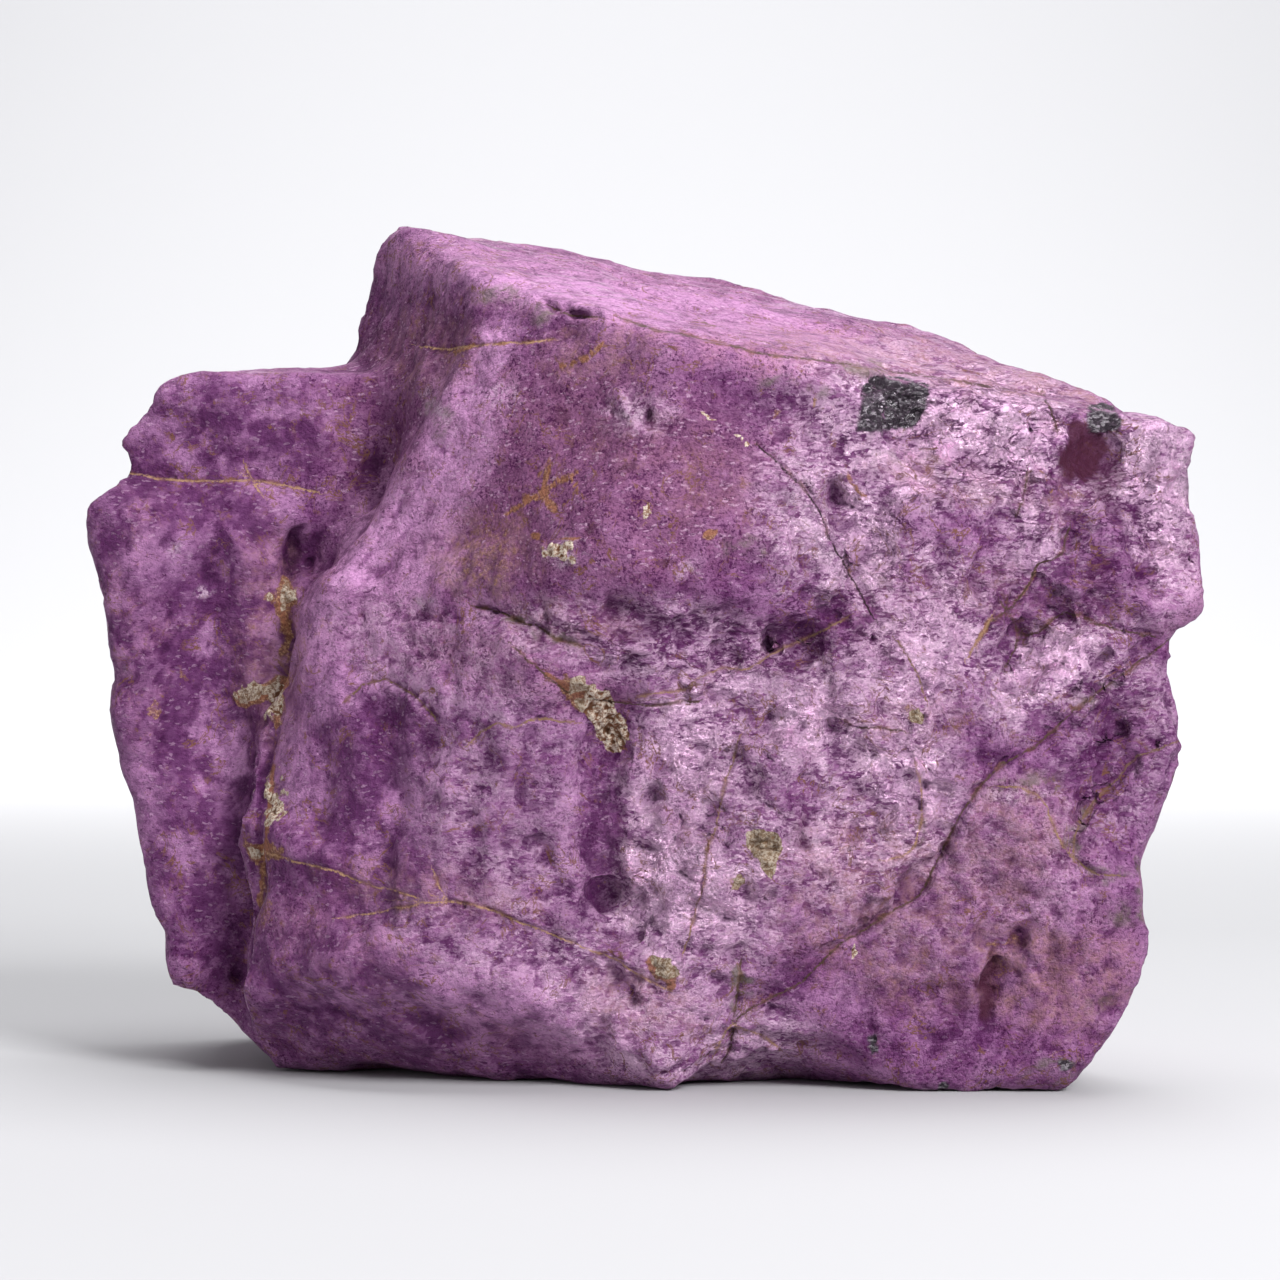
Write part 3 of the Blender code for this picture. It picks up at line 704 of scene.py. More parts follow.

# %% List the rust, the tan haze and the pale places, partly painted sheen
# Each patch: its middle, its radii, its turn and its strength
OCHRE = [
    ((486, 556), (46, 40), 0, 0.62), ((540, 495), (50, 34), -20, 0.45), ((520, 590), (40, 30), 20, 0.35),
    ((713, 535), (10, 6), -20, 0.9), ((652, 520), (8, 14), 20, 0.7), ((769, 421), (5, 7), 0, 0.9),
    ((815, 404), (8, 7), 0, 0.9), ((830, 440), (7, 10), 0, 0.7), ((650, 600), (60, 8), 3, 0.5),
    ((620, 606), (40, 6), 3, 0.5), ((583, 350), (34, 22), -8, 0.5), ((560, 372), (44, 6), 5, 0.6),
    ((629, 366), (8, 18), 0, 0.6), ((500, 345), (60, 4), 0, 0.6), ((455, 356), (16, 14), 0, 0.6),
    ((415, 330), (20, 20), 0, 0.5), ((1050, 500), (20, 26), 0, 0.3), ((1030, 585), (20, 34), 24, 0.4),
    ((986, 636), (12, 24), 28, 0.5), ((912, 716), (10, 11), 0, 0.8), ((870, 772), (6, 6), 0, 0.7),
    ((572, 690), (26, 8), 42, 0.9), ((600, 716), (10, 20), -20, 0.5), ((731, 700), (7, 10), 0, 0.7),
    ((764, 850), (24, 28), 10, 0.4), ((733, 884), (12, 8), -30, 0.7), ((800, 836), (18, 20), 0, 0.45),
    ((850, 900), (80, 50), -20, 0.3), ((900, 960), (110, 40), -10, 0.3), ((940, 1010), (70, 40), 0, 0.25),
    ((996, 946), (14, 7), -10, 0.5), ((1018, 940), (10, 12), 0, 0.7), ((661, 969), (18, 14), 0, 0.9),
    ((670, 1000), (8, 26), 0, 0.5), ((640, 1000), (30, 14), 30, 0.3), ((760, 960), (30, 10), -25, 0.4),
    ((282, 596), (14, 22), 0, 1.0), ((286, 640), (8, 34), 0, 0.8), ((262, 692), (34, 14), -20, 0.9),
    ((278, 706), (14, 26), 0, 0.8), ((275, 800), (16, 34), 0, 0.6), ((264, 850), (26, 14), 10, 0.9),
    ((262, 900), (10, 40), 0, 0.7), ((182, 669), (8, 10), 0, 0.8), ((152, 705), (12, 8), 0, 0.8),
    ((367, 865), (12, 8), 0, 0.5), ((200, 872), (28, 8), 20, 0.6), ((330, 700), (14, 18), 0, 0.3),
    ((322, 626), (12, 16), 0, 0.6), ((1000, 820), (60, 40), 0, 0.25), ((960, 470), (50, 18), 10, 0.3),
    ((1060, 700), (26, 8), -35, 0.6), ((1030, 990), (40, 24), 0, 0.35), ((900, 470), (30, 10), 0, 0.3),
]
GREENISH = [
    ((754, 549), (28, 14), 0, 0.7), ((769, 378), (18, 6), 0, 0.8), ((818, 387), (14, 8), 0, 0.7),
    ((540, 630), (48, 6), 22, 0.9), ((1124, 908), (12, 16), 0, 0.6), ((1145, 892), (10, 34), 0, 0.8),
    ((1098, 1006), (12, 12), 0, 0.5), ((1040, 780), (26, 8), 0, 0.35), ((740, 984), (8, 40), 0, 0.9),
    ((1052, 1070), (30, 10), 0, 0.7), ((500, 298), (26, 10), 10, 0.7), ((538, 310), (14, 12), 0, 0.7),
    ((436, 416), (26, 14), 30, 0.6), ((1075, 836), (8, 34), 10, 0.7), ((1110, 874), (26, 6), 0, 0.8),
    ((1030, 788), (40, 5), 5, 0.7), ((920, 810), (5, 50), 0, 0.6), ((860, 366), (30, 8), 5, 0.8),
    ((470, 575), (40, 30), 0, 0.15), ((1142, 872), (8, 12), 0, 0.8), ((1100, 690), (24, 7), -35, 0.7),
]
TAN_HAZE = [
    ((880, 900), (120, 90), 0, 0.6), ((960, 965), (120, 50), -8, 0.6), ((486, 556), (60, 50), 0, 0.7),
    ((1055, 500), (30, 30), 0, 0.4), ((950, 480), (90, 24), 10, 0.4), ((640, 1000), (70, 36), 20, 0.6),
    ((860, 860), (60, 40), 0, 0.6), ((1010, 840), (60, 60), 0, 0.6), ((700, 480), (60, 50), 0, 0.3),
    ((560, 620), (90, 30), 10, 0.35), ((1000, 590), (50, 30), 0, 0.3), ((920, 720), (60, 30), 0, 0.35),
    ((1060, 980), (80, 60), 0, 0.8), ((430, 890), (120, 30), 10, 0.4), ((270, 640), (40, 120), 0, 0.5),
    ((600, 350), (60, 30), -10, 0.6), ((430, 350), (50, 50), 0, 0.4), ((960, 368), (230, 26), 8, 0.8),
    ((640, 440), (60, 40), 0, 0.25),
]
# Pale places: small pale spots, and larger patches on the bright satin panels that are a painted sheen
PALE_AND_SHEEN = [
    ((860, 690), (60, 30), 10, 0.4), ((690, 880), (40, 60), 10, 0.5), ((930, 470), (60, 30), 10, 0.4),
    ((1010, 440), (40, 24), 0, 0.4), ((1000, 700), (30, 30), 0, 0.5), ((790, 730), (30, 50), 0, 0.5),
    ((846, 560), (18, 40), -25, 0.6), ((660, 800), (20, 50), 0, 0.3), ((1158, 470), (20, 50), 0, 0.5),
    ((629, 411), (16, 10), 0, 0.9), ((687, 569), (16, 9), -20, 0.7), ((781, 686), (34, 20), 8, 0.55),
    ((428, 600), (14, 8), 30, 0.7), ((437, 414), (16, 8), 40, 0.7), ((424, 392), (10, 8), 0, 0.6),
    ((180, 549), (8, 10), 0, 0.7), ((203, 592), (9, 8), 0, 0.8), ((500, 396), (14, 14), 0, 0.5),
    ((560, 552), (18, 16), 0, 0.8), ((816, 530), (22, 44), -30, 0.5), ((803, 500), (26, 16), 20, 0.6),
    ((700, 850), (40, 110), 12, 0.25), ((1020, 797), (36, 6), 8, 0.7), ((1053, 832), (6, 26), -15, 0.6),
    ((900, 740), (70, 20), 0, 0.35), ((1150, 450), (36, 40), 30, 0.35),
]
PINKISH = [
    ((600, 290), (260, 40), 8, 0.8), ((830, 350), (240, 40), 8, 0.9), ((400, 540), (60, 160), 36, 0.8),
    ((470, 420), (44, 100), 14, 0.7), ((560, 390), (90, 60), 0, 0.4), ((1000, 860), (110, 90), 0, 0.5),
    ((1060, 960), (90, 80), 0, 0.5), ((480, 660), (170, 36), 14, 0.7), ((900, 620), (60, 80), 0, 0.5),
    ((140, 620), (36, 150), 0, 0.5), ((640, 480), (150, 90), 0, 0.3), ((560, 1010), (120, 50), 8, 0.8),
    ((780, 480), (60, 70), 0, 0.5), ((340, 940), (90, 40), 15, 0.5), ((1180, 590), (40, 60), 0, 0.6),
    ((1034, 836), (34, 40), 0, 0.9), ((1040, 905), (34, 34), 0, 0.9), ((380, 620), (60, 60), 30, 0.5),
    ((1100, 620), (40, 30), 0, 0.3),
]
print(sum(map(len, (OCHRE, GREENISH, TAN_HAZE, PALE_AND_SHEEN, PINKISH))), "patches of stain and tint")

# %% List the deep violet places, partly painted shade
# Deep violet places. Those on the left side, in the hollows, under the nose and along the long crack are a
# painted shade
DEEP_AND_SHADE = [
    ((1098, 766), (56, 76), 24, 0.7), ((1150, 840), (22, 40), 20, 0.6), ((440, 370), (16, 60), 24, 0.9),
    ((396, 440), (20, 60), 36, 0.9), ((340, 500), (24, 50), 46, 0.4), ((600, 840), (22, 110), 4, 0.65),
    ((567, 889), (16, 20), 0, 0.6), ((1090, 455), (40, 34), 0, 0.9), ((1080, 500), (30, 40), 0, 0.6),
    ((1005, 668), (14, 16), 0, 0.9), ((822, 612), (26, 24), 0, 0.6), ((1145, 576), (16, 44), 12, 0.8),
    ((644, 412), (8, 12), 8, 1.0), ((988, 992), (16, 50), 4, 0.7), ((800, 650), (60, 34), 25, 0.5),
    ((1110, 740), (34, 100), 18, 0.7), ((440, 320), (60, 100), 8, 0.7), ((960, 816), (9, 46), 32, 1.0),
    ((1000, 768), (28, 8), -32, 0.9), ((942, 858), (8, 26), 20, 0.8), ((215, 560), (44, 110), 0, 0.7),
    ((200, 430), (80, 36), 0, 0.6), ((235, 820), (44, 160), 0, 0.6), ((380, 740), (70, 50), 25, 1.0),
    ((420, 850), (90, 90), 0, 0.6), ((330, 1010), (150, 40), 8, 0.95), ((566, 312), (30, 8), 6, 0.9),
    ((629, 366), (22, 34), 0, 0.6), ((700, 400), (90, 24), 10, 0.45), ((680, 620), (120, 30), 4, 0.4),
    ((330, 470), (60, 60), 0, 0.7), ((250, 700), (60, 60), 0, 0.5), ((1040, 600), (44, 34), 0, 0.5),
    ((930, 560), (40, 40), 0, 0.3), ((930, 1040), (60, 24), 0, 0.6), ((600, 440), (30, 20), 0, 0.6),
    ((690, 470), (26, 16), 0, 0.5), ((640, 524), (44, 10), 0, 0.6), ((930, 900), (24, 26), 0, 0.6),
    ((1010, 960), (24, 30), 0, 0.5), ((780, 1010), (60, 30), 0, 0.5), ((1100, 860), (60, 40), 0, 0.3),
    ((540, 660), (50, 24), 10, 0.4), ((180, 620), (110, 240), 0, 0.55), ((236, 700), (34, 220), 0, 0.8),
    ((180, 430), (90, 40), 0, 0.6), ((330, 560), (60, 60), 30, 0.35), ((330, 760), (50, 90), 0, 0.5),
    ((480, 780), (110, 90), 0, 0.55), ((180, 860), (60, 110), 0, 0.6), ((420, 960), (160, 60), 10, 0.35),
    ((1150, 520), (40, 60), 0, 0.5), ((1150, 760), (40, 120), 0, 0.5), ((640, 620), (160, 34), 6, 0.5),
    ((820, 630), (60, 40), 0, 0.6), ((400, 400), (50, 40), 0, 0.5), ((860, 460), (30, 30), 0, 0.3),
    ((220, 440), (110, 46), 0, 0.8), ((1125, 580), (50, 60), 0, 0.9), ((600, 470), (130, 60), 0, 0.3),
    ((940, 950), (90, 60), 0, 0.5),
]
print(len(DEEP_AND_SHADE), "deep places")

# %% List the streaks and the coloured faces
# Each thin ochre streak: its line, its half width in mm and its strength
OCHRE_STREAKS = [
    ([(552, 446), (549, 468), (542, 493)], 0.1, 1.0),
    ([(506, 514), (520, 506), (542, 493), (560, 480), (580, 470)], 0.1, 1.0),
    ([(542, 493), (548, 502), (556, 510)], 0.16, 1.0), ([(560, 480), (572, 478), (577, 488)], 0.08, 0.9),
    ([(516, 500), (530, 496), (542, 493)], 0.07, 0.8), ([(546, 462), (540, 474)], 0.07, 0.8),
    ([(526, 532), (545, 537), (562, 538), (584, 540)], 0.14, 1.0),
    ([(549, 545), (540, 540), (530, 538)], 0.1, 0.9), ([(848, 474), (852, 484), (866, 498)], 0.2, 1.0),
    ([(700, 417), (716, 424)], 0.06, 0.8), ([(1066, 540), (1060, 554), (1046, 563)], 0.07, 0.5),
    ([(1036, 572), (1027, 588), (1012, 606)], 0.14, 0.45),
    ([(992, 616), (984, 631), (976, 642), (968, 658)], 0.16, 0.55),
    ([(1030, 462), (1044, 474), (1052, 492)], 0.09, 0.8),
    ([(546, 674), (560, 682), (576, 694), (590, 708)], 0.22, 1.0), ([(620, 745), (630, 752)], 0.2, 0.8),
    ([(455, 352), (472, 346), (500, 344), (552, 340)], 0.08, 0.8),
    ([(560, 366), (588, 358), (606, 340)], 0.1, 0.9), ([(700, 536), (718, 530)], 0.16, 0.9),
    ([(286, 584), (280, 604), (287, 630), (283, 650)], 0.16, 1.0),
    ([(242, 700), (262, 694), (284, 684)], 0.3, 1.0), ([(268, 846), (256, 856)], 0.3, 0.9),
    ([(1090, 684), (1116, 672), (1140, 656)], 0.12, 0.8),
    ([(128, 474), (180, 481), (240, 481)], 0.08, 0.8), ([(246, 462), (250, 482)], 0.07, 0.9),
    ([(470, 740), (520, 736), (560, 742)], 0.06, 0.5), ([(646, 962), (664, 972), (672, 985)], 0.3, 0.9),
    ([(988, 946), (1006, 946), (1018, 938)], 0.12, 0.6),
    ([(277, 716), (274, 760), (270, 800), (264, 850), (258, 904)], 0.13, 0.75),
    ([(1048, 1056), (1076, 1048), (1096, 1044)], 0.1, 0.9), ([(352, 868), (374, 880)], 0.12, 0.7),
]
# Smooth faces of a dark brown red, and lighter ones of a clear orchid
MAROON = [
    ((1084, 450), (24, 34), 24, 1.0), ((1104, 478), (24, 28), 24, 0.45), ((988, 992), (13, 44), 4, 0.7),
    ((1020, 938), (8, 10), 0, 0.6), ((1080, 430), (10, 16), 0, 1.0), ((634, 467), (6, 5), 0, 0.6),
    ((1100, 500), (24, 22), 0, 0.3), ((870, 920), (12, 20), 20, 0.4), ((800, 838), (14, 18), 0, 0.35),
    ((960, 1000), (10, 22), 0, 0.4), ((940, 984), (24, 16), 10, 0.45), ((1062, 960), (16, 28), 10, 0.4),
    ((906, 878), (14, 20), 0, 0.4), ((1012, 884), (20, 12), 0, 0.3), ((1034, 1010), (16, 24), 0, 0.35),
    ((890, 1000), (16, 22), 0, 0.3), ((630, 468), (9, 6), 0, 0.5), ((596, 522), (16, 4), 8, 0.5),
    ((700, 500), (9, 7), 0, 0.4), ((662, 560), (14, 4), 0, 0.5), ((560, 420), (10, 12), 0, 0.4),
    ((1096, 590), (16, 30), 0, 0.3),
]
ORCHID = [
    ((486, 372), (16, 60), 24, 0.9), ((444, 450), (18, 70), 30, 0.9), ((396, 520), (20, 60), 38, 0.9),
    ((350, 590), (26, 60), 40, 0.9), ((560, 292), (120, 16), 10, 0.9), ((760, 332), (160, 14), 8, 0.6),
    ((330, 680), (30, 50), 20, 0.6), ((290, 760), (20, 60), 0, 0.5), ((840, 1000), (50, 30), 0, 0.3),
    ((1060, 900), (40, 40), 0, 0.4), ((640, 960), (60, 30), 0, 0.5), ((500, 990), (90, 34), 0, 0.7),
    ((600, 1030), (80, 30), 0, 0.7), ((460, 440), (44, 90), 16, 0.75), ((400, 540), (60, 90), 34, 0.8),
    ((350, 640), (70, 60), 30, 0.6), ((620, 300), (260, 26), 8, 0.7), ((900, 365), (170, 14), 8, 0.2),
    ((160, 560), (40, 30), 0, 0.4), ((480, 700), (120, 26), 16, 0.45), ((700, 1020), (70, 34), 0, 0.5),
    ((760, 930), (40, 30), 0, 0.4), ((420, 800), (40, 40), 0, 0.35), ((600, 1010), (60, 30), 0, 0.4),
    ((1160, 590), (30, 40), 0, 0.5), ((150, 430), (30, 16), 0, 0.4), ((230, 760), (20, 60), 0, 0.4),
    ((130, 800), (30, 60), 0, 0.4), ((520, 260), (140, 16), 10, 0.5), ((340, 1000), (50, 14), 12, 0.2),
    ((570, 800), (16, 60), 0, 0.3),
]
print(len(OCHRE_STREAKS), "streaks,", len(MAROON), "brown red faces and", len(ORCHID), "orchid ones")

# %% List where the surface is lined, blotched, even or bright
# Where fine dark lines, a painted crevice shade, run between the bright faces
CRAZED_SHADE = [
    ((1000, 440), (130, 70), 10, 0.9), ((1120, 540), (60, 90), 0, 1.0), ((960, 540), (110, 90), 0, 0.7),
    ((690, 640), (170, 40), 4, 0.8), ((1100, 740), (50, 90), 15, 0.7), ((820, 620), (50, 40), 0, 0.8),
    ((560, 700), (60, 30), 20, 0.4), ((940, 1030), (110, 50), 0, 0.4), ((400, 720), (70, 40), 20, 0.5),
]
# Matt faces blotched with violet and orchid
BLOTCHY = [
    ((180, 640), (140, 300), 0, 1.0), ((230, 430), (130, 50), 0, 1.0), ((420, 830), (150, 120), 0, 0.8),
    ((420, 985), (200, 70), 8, 0.9), ((400, 720), (90, 50), 20, 0.6),
]
# Matt faces of one even colour
CALM = [
    ((600, 480), (190, 130), 5, 1.0), ((400, 420), (90, 130), 10, 0.7), ((1040, 860), (60, 60), 0, 0.5),
]
# Painted sheen and painted shade within the satin: brighter places up to 1, duller ones down to -1
SHEEN_AND_SHADE_PLACES = [
    ((985, 430), (75, 42), 8, 1.0), ((1156, 500), (24, 70), 0, 1.0), ((1030, 548), (34, 28), 0, 0.7),
    ((868, 558), (30, 34), -20, 1.0), ((836, 590), (20, 20), 0, 0.6), ((930, 670), (44, 40), 0, 0.6),
    ((1018, 690), (22, 40), 8, 0.9), ((806, 728), (44, 34), 0, 0.9), ((930, 790), (40, 44), 0, 0.8),
    ((672, 880), (46, 70), 10, 1.0), ((660, 770), (40, 44), 0, 0.8), ((960, 620), (26, 20), 0, 0.5),
    ((905, 505), (30, 24), 20, 0.7), ((1080, 640), (30, 16), 0, 0.5), ((700, 700), (40, 16), 0, 0.4),
    ((620, 1000), (70, 30), 0, 0.3), ((720, 930), (20, 30), 0, 0.5), ((1060, 660), (24, 30), 0, 0.5),
    ((826, 618), (44, 34), 0, -0.9), ((1104, 574), (58, 52), 0, -1.0), ((1006, 668), (10, 20), 0, -1.0),
    ((1100, 766), (56, 84), 20, -0.8), ((838, 738), (12, 34), 6, -1.0), ((752, 716), (22, 22), 0, -0.5),
    ((606, 820), (24, 76), 4, -0.7), ((880, 484), (26, 12), 20, -0.6), ((1080, 440), (18, 40), 10, -1.0),
    ((724, 830), (26, 40), 10, -0.5), ((690, 630), (130, 20), 2, -0.2), ((960, 540), (50, 26), 20, -0.6),
    ((1020, 612), (34, 24), 0, -0.7), ((790, 800), (30, 40), 10, -0.6), ((900, 560), (14, 40), -20, -0.5),
    ((884, 700), (14, 30), 6, -0.5), ((980, 760), (24, 30), 0, -0.5), ((1060, 500), (24, 40), 0, -0.5),
    ((650, 950), (20, 30), 0, -0.4), ((1046, 724), (20, 26), 0, -0.7), ((970, 690), (12, 34), 0, -0.5),
]
print(len(SHEEN_AND_SHADE_PLACES), "brighter and duller places")


# %% Read the patches and the lines
def painted(patches, spread=1.4):
    """The strongest of the patches at each point, with a ragged edge, in front only."""
    mask = np.zeros(len(points))
    for middle, radii, turn, strength in patches:
        share = patch(places + ragged * 0.8, middle, np.array(radii) * spread, turn)
        mask = np.maximum(mask, strength * ease(share * 1.7))
    return mask * front


def keep(name, values):
    """Stores one number on each point of the stone."""
    layer = stone.data.attributes.new(name, "FLOAT", "POINT")
    layer.data.foreach_set("value", values.astype(np.float32))


FAR_FROM_CRACK = 9.0
LITTLE_FILL = 0.12

points, facings = read_points(stone)
places = in_picture(points)
front = towards_eye(points, facings)
hidden = 1.0 - front
crack_gap = np.full(len(points), FAR_FROM_CRACK)
crack_fill = np.zeros(len(points))
for name, (line, half_width, depth, drop) in CRACKS.items():
    gap = in_mm(from_line(places, line)[0]) + wander
    closer = (np.abs(gap) < np.abs(crack_gap)) & (front > 0.0)
    crack_gap = np.where(closer, gap, crack_gap)
    crack_fill = np.where(closer, TAN_FILL.get(name, LITTLE_FILL), crack_fill)
crack_gap = np.where(hidden > 0.85, chance_crack(points), crack_gap)
crack_gap = np.where(np.abs(crack_gap) < 0.6, crack_gap, 40.0 * np.sign(crack_gap))
chance_ochre = ease((waves(points, 4.0, start=14.0) - 0.22) * 3.0) * 0.7
chance_pink = ease(0.5 + waves(points, 9.0, start=21.0) * 1.5)
streaks = np.zeros(len(points))
for line, half_width, strength in OCHRE_STREAKS:
    gap = in_mm(np.abs(from_line(places, line)[0])) + np.abs(wander) * 0.5
    streaks = np.maximum(streaks, strength * np.exp(-((gap / half_width) ** 2)) * front)
print("ochre streaks cover", round(float((streaks > 0.5).mean()) * 100, 1), "% of the points")

# %% Store the masks
keep("streak", streaks)
keep("crack_gap", crack_gap)
keep("crack_fill", crack_fill)
keep("satin", satin_share(points, facings))
# Painted sheen and shade for the satin's colour, also used for its metallic share
sheen_and_shade = sum(amount * patch(places + ragged, middle, np.array(radii) * 1.6, turn)
           for middle, radii, turn, amount in SHEEN_AND_SHADE_PLACES)
keep("sheen_and_shade", np.clip(sheen_and_shade * 1.5 * front + waves(points, 4.0, start=60.0) * hidden, -1.0, 1.0))
keep("dark_grain", dark)
keep("crust", crust)
keep("crust_tone", crust_tone)
keep("ochre", np.clip(painted(OCHRE) + chance_ochre * hidden, 0.0, 1.0))
chance_green = ease((waves(points, 3.0, start=31.0) - 0.35) * 3.0)
keep("greenish", np.clip(painted(GREENISH) + chance_green * hidden, 0.0, 1.0))
keep("pale_and_sheen", painted(PALE_AND_SHEEN))
# The faces that look up are darkened towards mauve too: a painted shade on the top
keep("calm_and_top_shade", np.maximum(painted(CALM), 0.7 * ease((facings[:, 2] - 0.6) / 0.3)))
keep("blotchy", painted(BLOTCHY))
keep("crazed_shade", painted(CRAZED_SHADE) + 0.5 * hidden)
keep("maroon", painted(MAROON))
keep("orchid", np.clip(painted(ORCHID) + chance_pink * 0.3 * hidden, 0.0, 1.0))
keep("tan", np.clip(painted(TAN_HAZE) + ease(waves(points, 6.0, start=50.0) * 2.0) * 0.6 * hidden, 0.0, 1.0))
keep("pinkish", np.clip(painted(PINKISH) + chance_pink * 0.7 * hidden, 0.0, 1.0))
keep("deep_and_shade", np.clip(painted(DEEP_AND_SHADE) + ease(waves(points, 7.0, start=40.0) * 1.6) * 0.5 * hidden, 0.0, 1.0))
keep("fine_hollow", fine_hollow)
keep("broad_hollow", broad_hollow)
print(len(stone.data.attributes), "attributes on", len(points), "points")

# %% [markdown]
# ## The material
#
# One material covers the stone, because it is one mineral with others grown into it. It is built up as
# the eye reads it: the body colour, then a dark speckle, then stains, crusts and dark grains, and last
# the cracks. What differs from place to place comes from a mask or from a pattern. The patterns' coordinates
# are the object's own, scaled so that one unit is a millimetre. A short helper adds a node and connects
# it, so each step below reads as one line for each idea.

# %% Start the material
mineral = bpy.data.materials.new("purpurite")
mineral.use_nodes = True
tree = mineral.node_tree
shader = tree.nodes["Principled BSDF"]


def feed(socket, value):
    """Connects another node's output to a socket, or sets a plain value on it."""
    if isinstance(value, bpy.types.NodeSocket):
        tree.links.new(value, socket)
    else:
        socket.default_value = value


def add(kind, wanted, sockets=None, **settings):
    """Adds a node and returns one of its outputs."""
    made = tree.nodes.new("ShaderNode" + kind)
    for name, value in settings.items():
        setattr(made, name, value)
    for name, value in (sockets or {}).items():
        feed(made.inputs[name], value)
    return made.outputs[wanted]


def ranged(value, low, high, start=0.0, end=1.0):
    """Turns the range from low to high into start to end, held at both ends."""
    sockets = {0: value, 1: low, 2: high, 3: start, 4: end}
    return add("MapRange", "Result", sockets, interpolation_type="SMOOTHSTEP")


def times(value, other):
    """Multiplies two values."""
    return add("Math", "Value", {0: value, 1: other}, operation="MULTIPLY")


def plus(value, other):
    """Adds two values."""
    return add("Math", "Value", {0: value, 1: other}, operation="ADD")


def mixed(share, under, over, blend="MIX"):
    """Lays one colour over another by a share."""
    return add("Mix", 2, {0: share, 6: under, 7: over}, data_type="RGBA", blend_type=blend)


def mask(name):
    """Reads one of the stone's masks."""
    return add("Attribute", "Fac", attribute_name=name)


def speckle(size, detail=2.0, rough=0.6, warp=0.0, where=None):
    """Random waves of a size in millimetres."""
    sockets = {"Vector": where or millimetres, "Scale": 1.0 / size, "Detail": detail, "Roughness": rough,
               "Distortion": warp}
    return add("TexNoise", "Fac", sockets)


place = add("TexCoord", "Object")
millimetres = add("Mapping", "Vector", {"Vector": place, "Scale": (1000, 1000, 1000)})
slanted = add("Mapping", "Vector",
              {"Vector": place, "Rotation": (0.0, 0.6, 0.0), "Scale": (560, 1000, 1300)})
fibrous = add("Mapping", "Vector",
              {"Vector": place, "Rotation": (0.0, -0.5, 0.0), "Scale": (480, 1000, 1250)})
print("the pattern is in millimetres")

# %% [markdown]
# ### The small cleavage faces
#
# A satin patch isn't one smooth sheen. It is hundreds of small cleavage faces, a quarter of a millimetre
# across, each tilted a little its own way. A Voronoi pattern gives each cell a random colour. One channel
# of it says how bright that face is, and all three, read as a direction, say which way it tilts. Three
# sizes of cell are used: single faces, groups of them, and broad panels that are duller or brighter.

# %% Make the cells
def cells(where, size, start):
    """A random colour for each cell of a size in millimetres."""
    moved = add("VectorMath", "Vector", {0: where, 1: start}, operation="ADD")
    return add("TexVoronoi", "Color", {"Vector": moved, "Scale": 1.0 / size, "Randomness": 1.0})


def chance_of(cell):
    """A random number from 0 to 1 for each cell."""
    return add("SeparateColor", "Green", {"Color": cell})


def tilt_of(cell):
    """A random direction for each cell."""
    return add("VectorMath", "Vector", {0: cell, 1: (0.5, 0.5, 0.5)}, operation="SUBTRACT")


warp = add("TexNoise", "Color", {"Vector": millimetres, "Scale": 2.2, "Detail": 1.0})
warped = add("VectorMath", "Vector", {0: warp, 1: (0.35, 0.35, 0.35), 2: slanted}, operation="MULTIPLY_ADD")
panels = cells(warped, 2.60, (2.0, 9.0, 4.0))
large_cells = cells(warped, 0.42, (0.0, 0.0, 0.0))
small_cells = cells(warped, 0.15, (7.0, 3.0, 5.0))
print("three sizes of cell")

# %% [markdown]
# ### The body colour
#
# The body swings between a deep violet and a dusty pink lilac in clouds of a few millimetres. Deep violet
# places, partly a painted shade, darken it further. On top of that come the satin patches, where some small
# faces are painted a silvery lilac, a painted sheen that also tints their metallic reflection, and the
# others a dark purple, a painted shade; listed brighter and duller places add more painted sheen and shade.
# Hollows and fine crevices get a painted shade, since less light comes back from a hollow, and raised edges
# are made the palest. This shade is painted by multiplying with a saturated purple, because mixing in a
# dark colour would turn it grey. Where the stone is matt, blotches a millimetre across break the clouds up,
# a few small painted glints shine, and dark speckles and scratches lie over them. Some matt faces are of
# one even mauve, the faces that look up get the same mauve as a painted shade, and others are blotched
# with violet and orchid.

# %% Choose the body colours
VIOLET = (0.098, 0.025, 0.096, 1.0)
PURPLE = (0.200, 0.066, 0.186, 1.0)
LILAC = (0.340, 0.156, 0.315, 1.0)
DUSTY_PINK = (0.430, 0.192, 0.340, 1.0)
DEEPEST = (0.055, 0.005, 0.050, 1.0)
SATIN_SHADE = (0.150, 0.042, 0.138, 1.0)
SHEEN_LILAC = (0.860, 0.590, 0.785, 1.0)
PALE_LILAC = (0.560, 0.400, 0.520, 1.0)
CLEAR_ORCHID = (0.560, 0.280, 0.520, 1.0)
BROWN_RED = (0.050, 0.011, 0.024, 1.0)
MAUVE = (0.200, 0.075, 0.150, 1.0)
HOLLOW_SHADE = (0.270, 0.082, 0.285, 1.0)
print("twelve body colours")

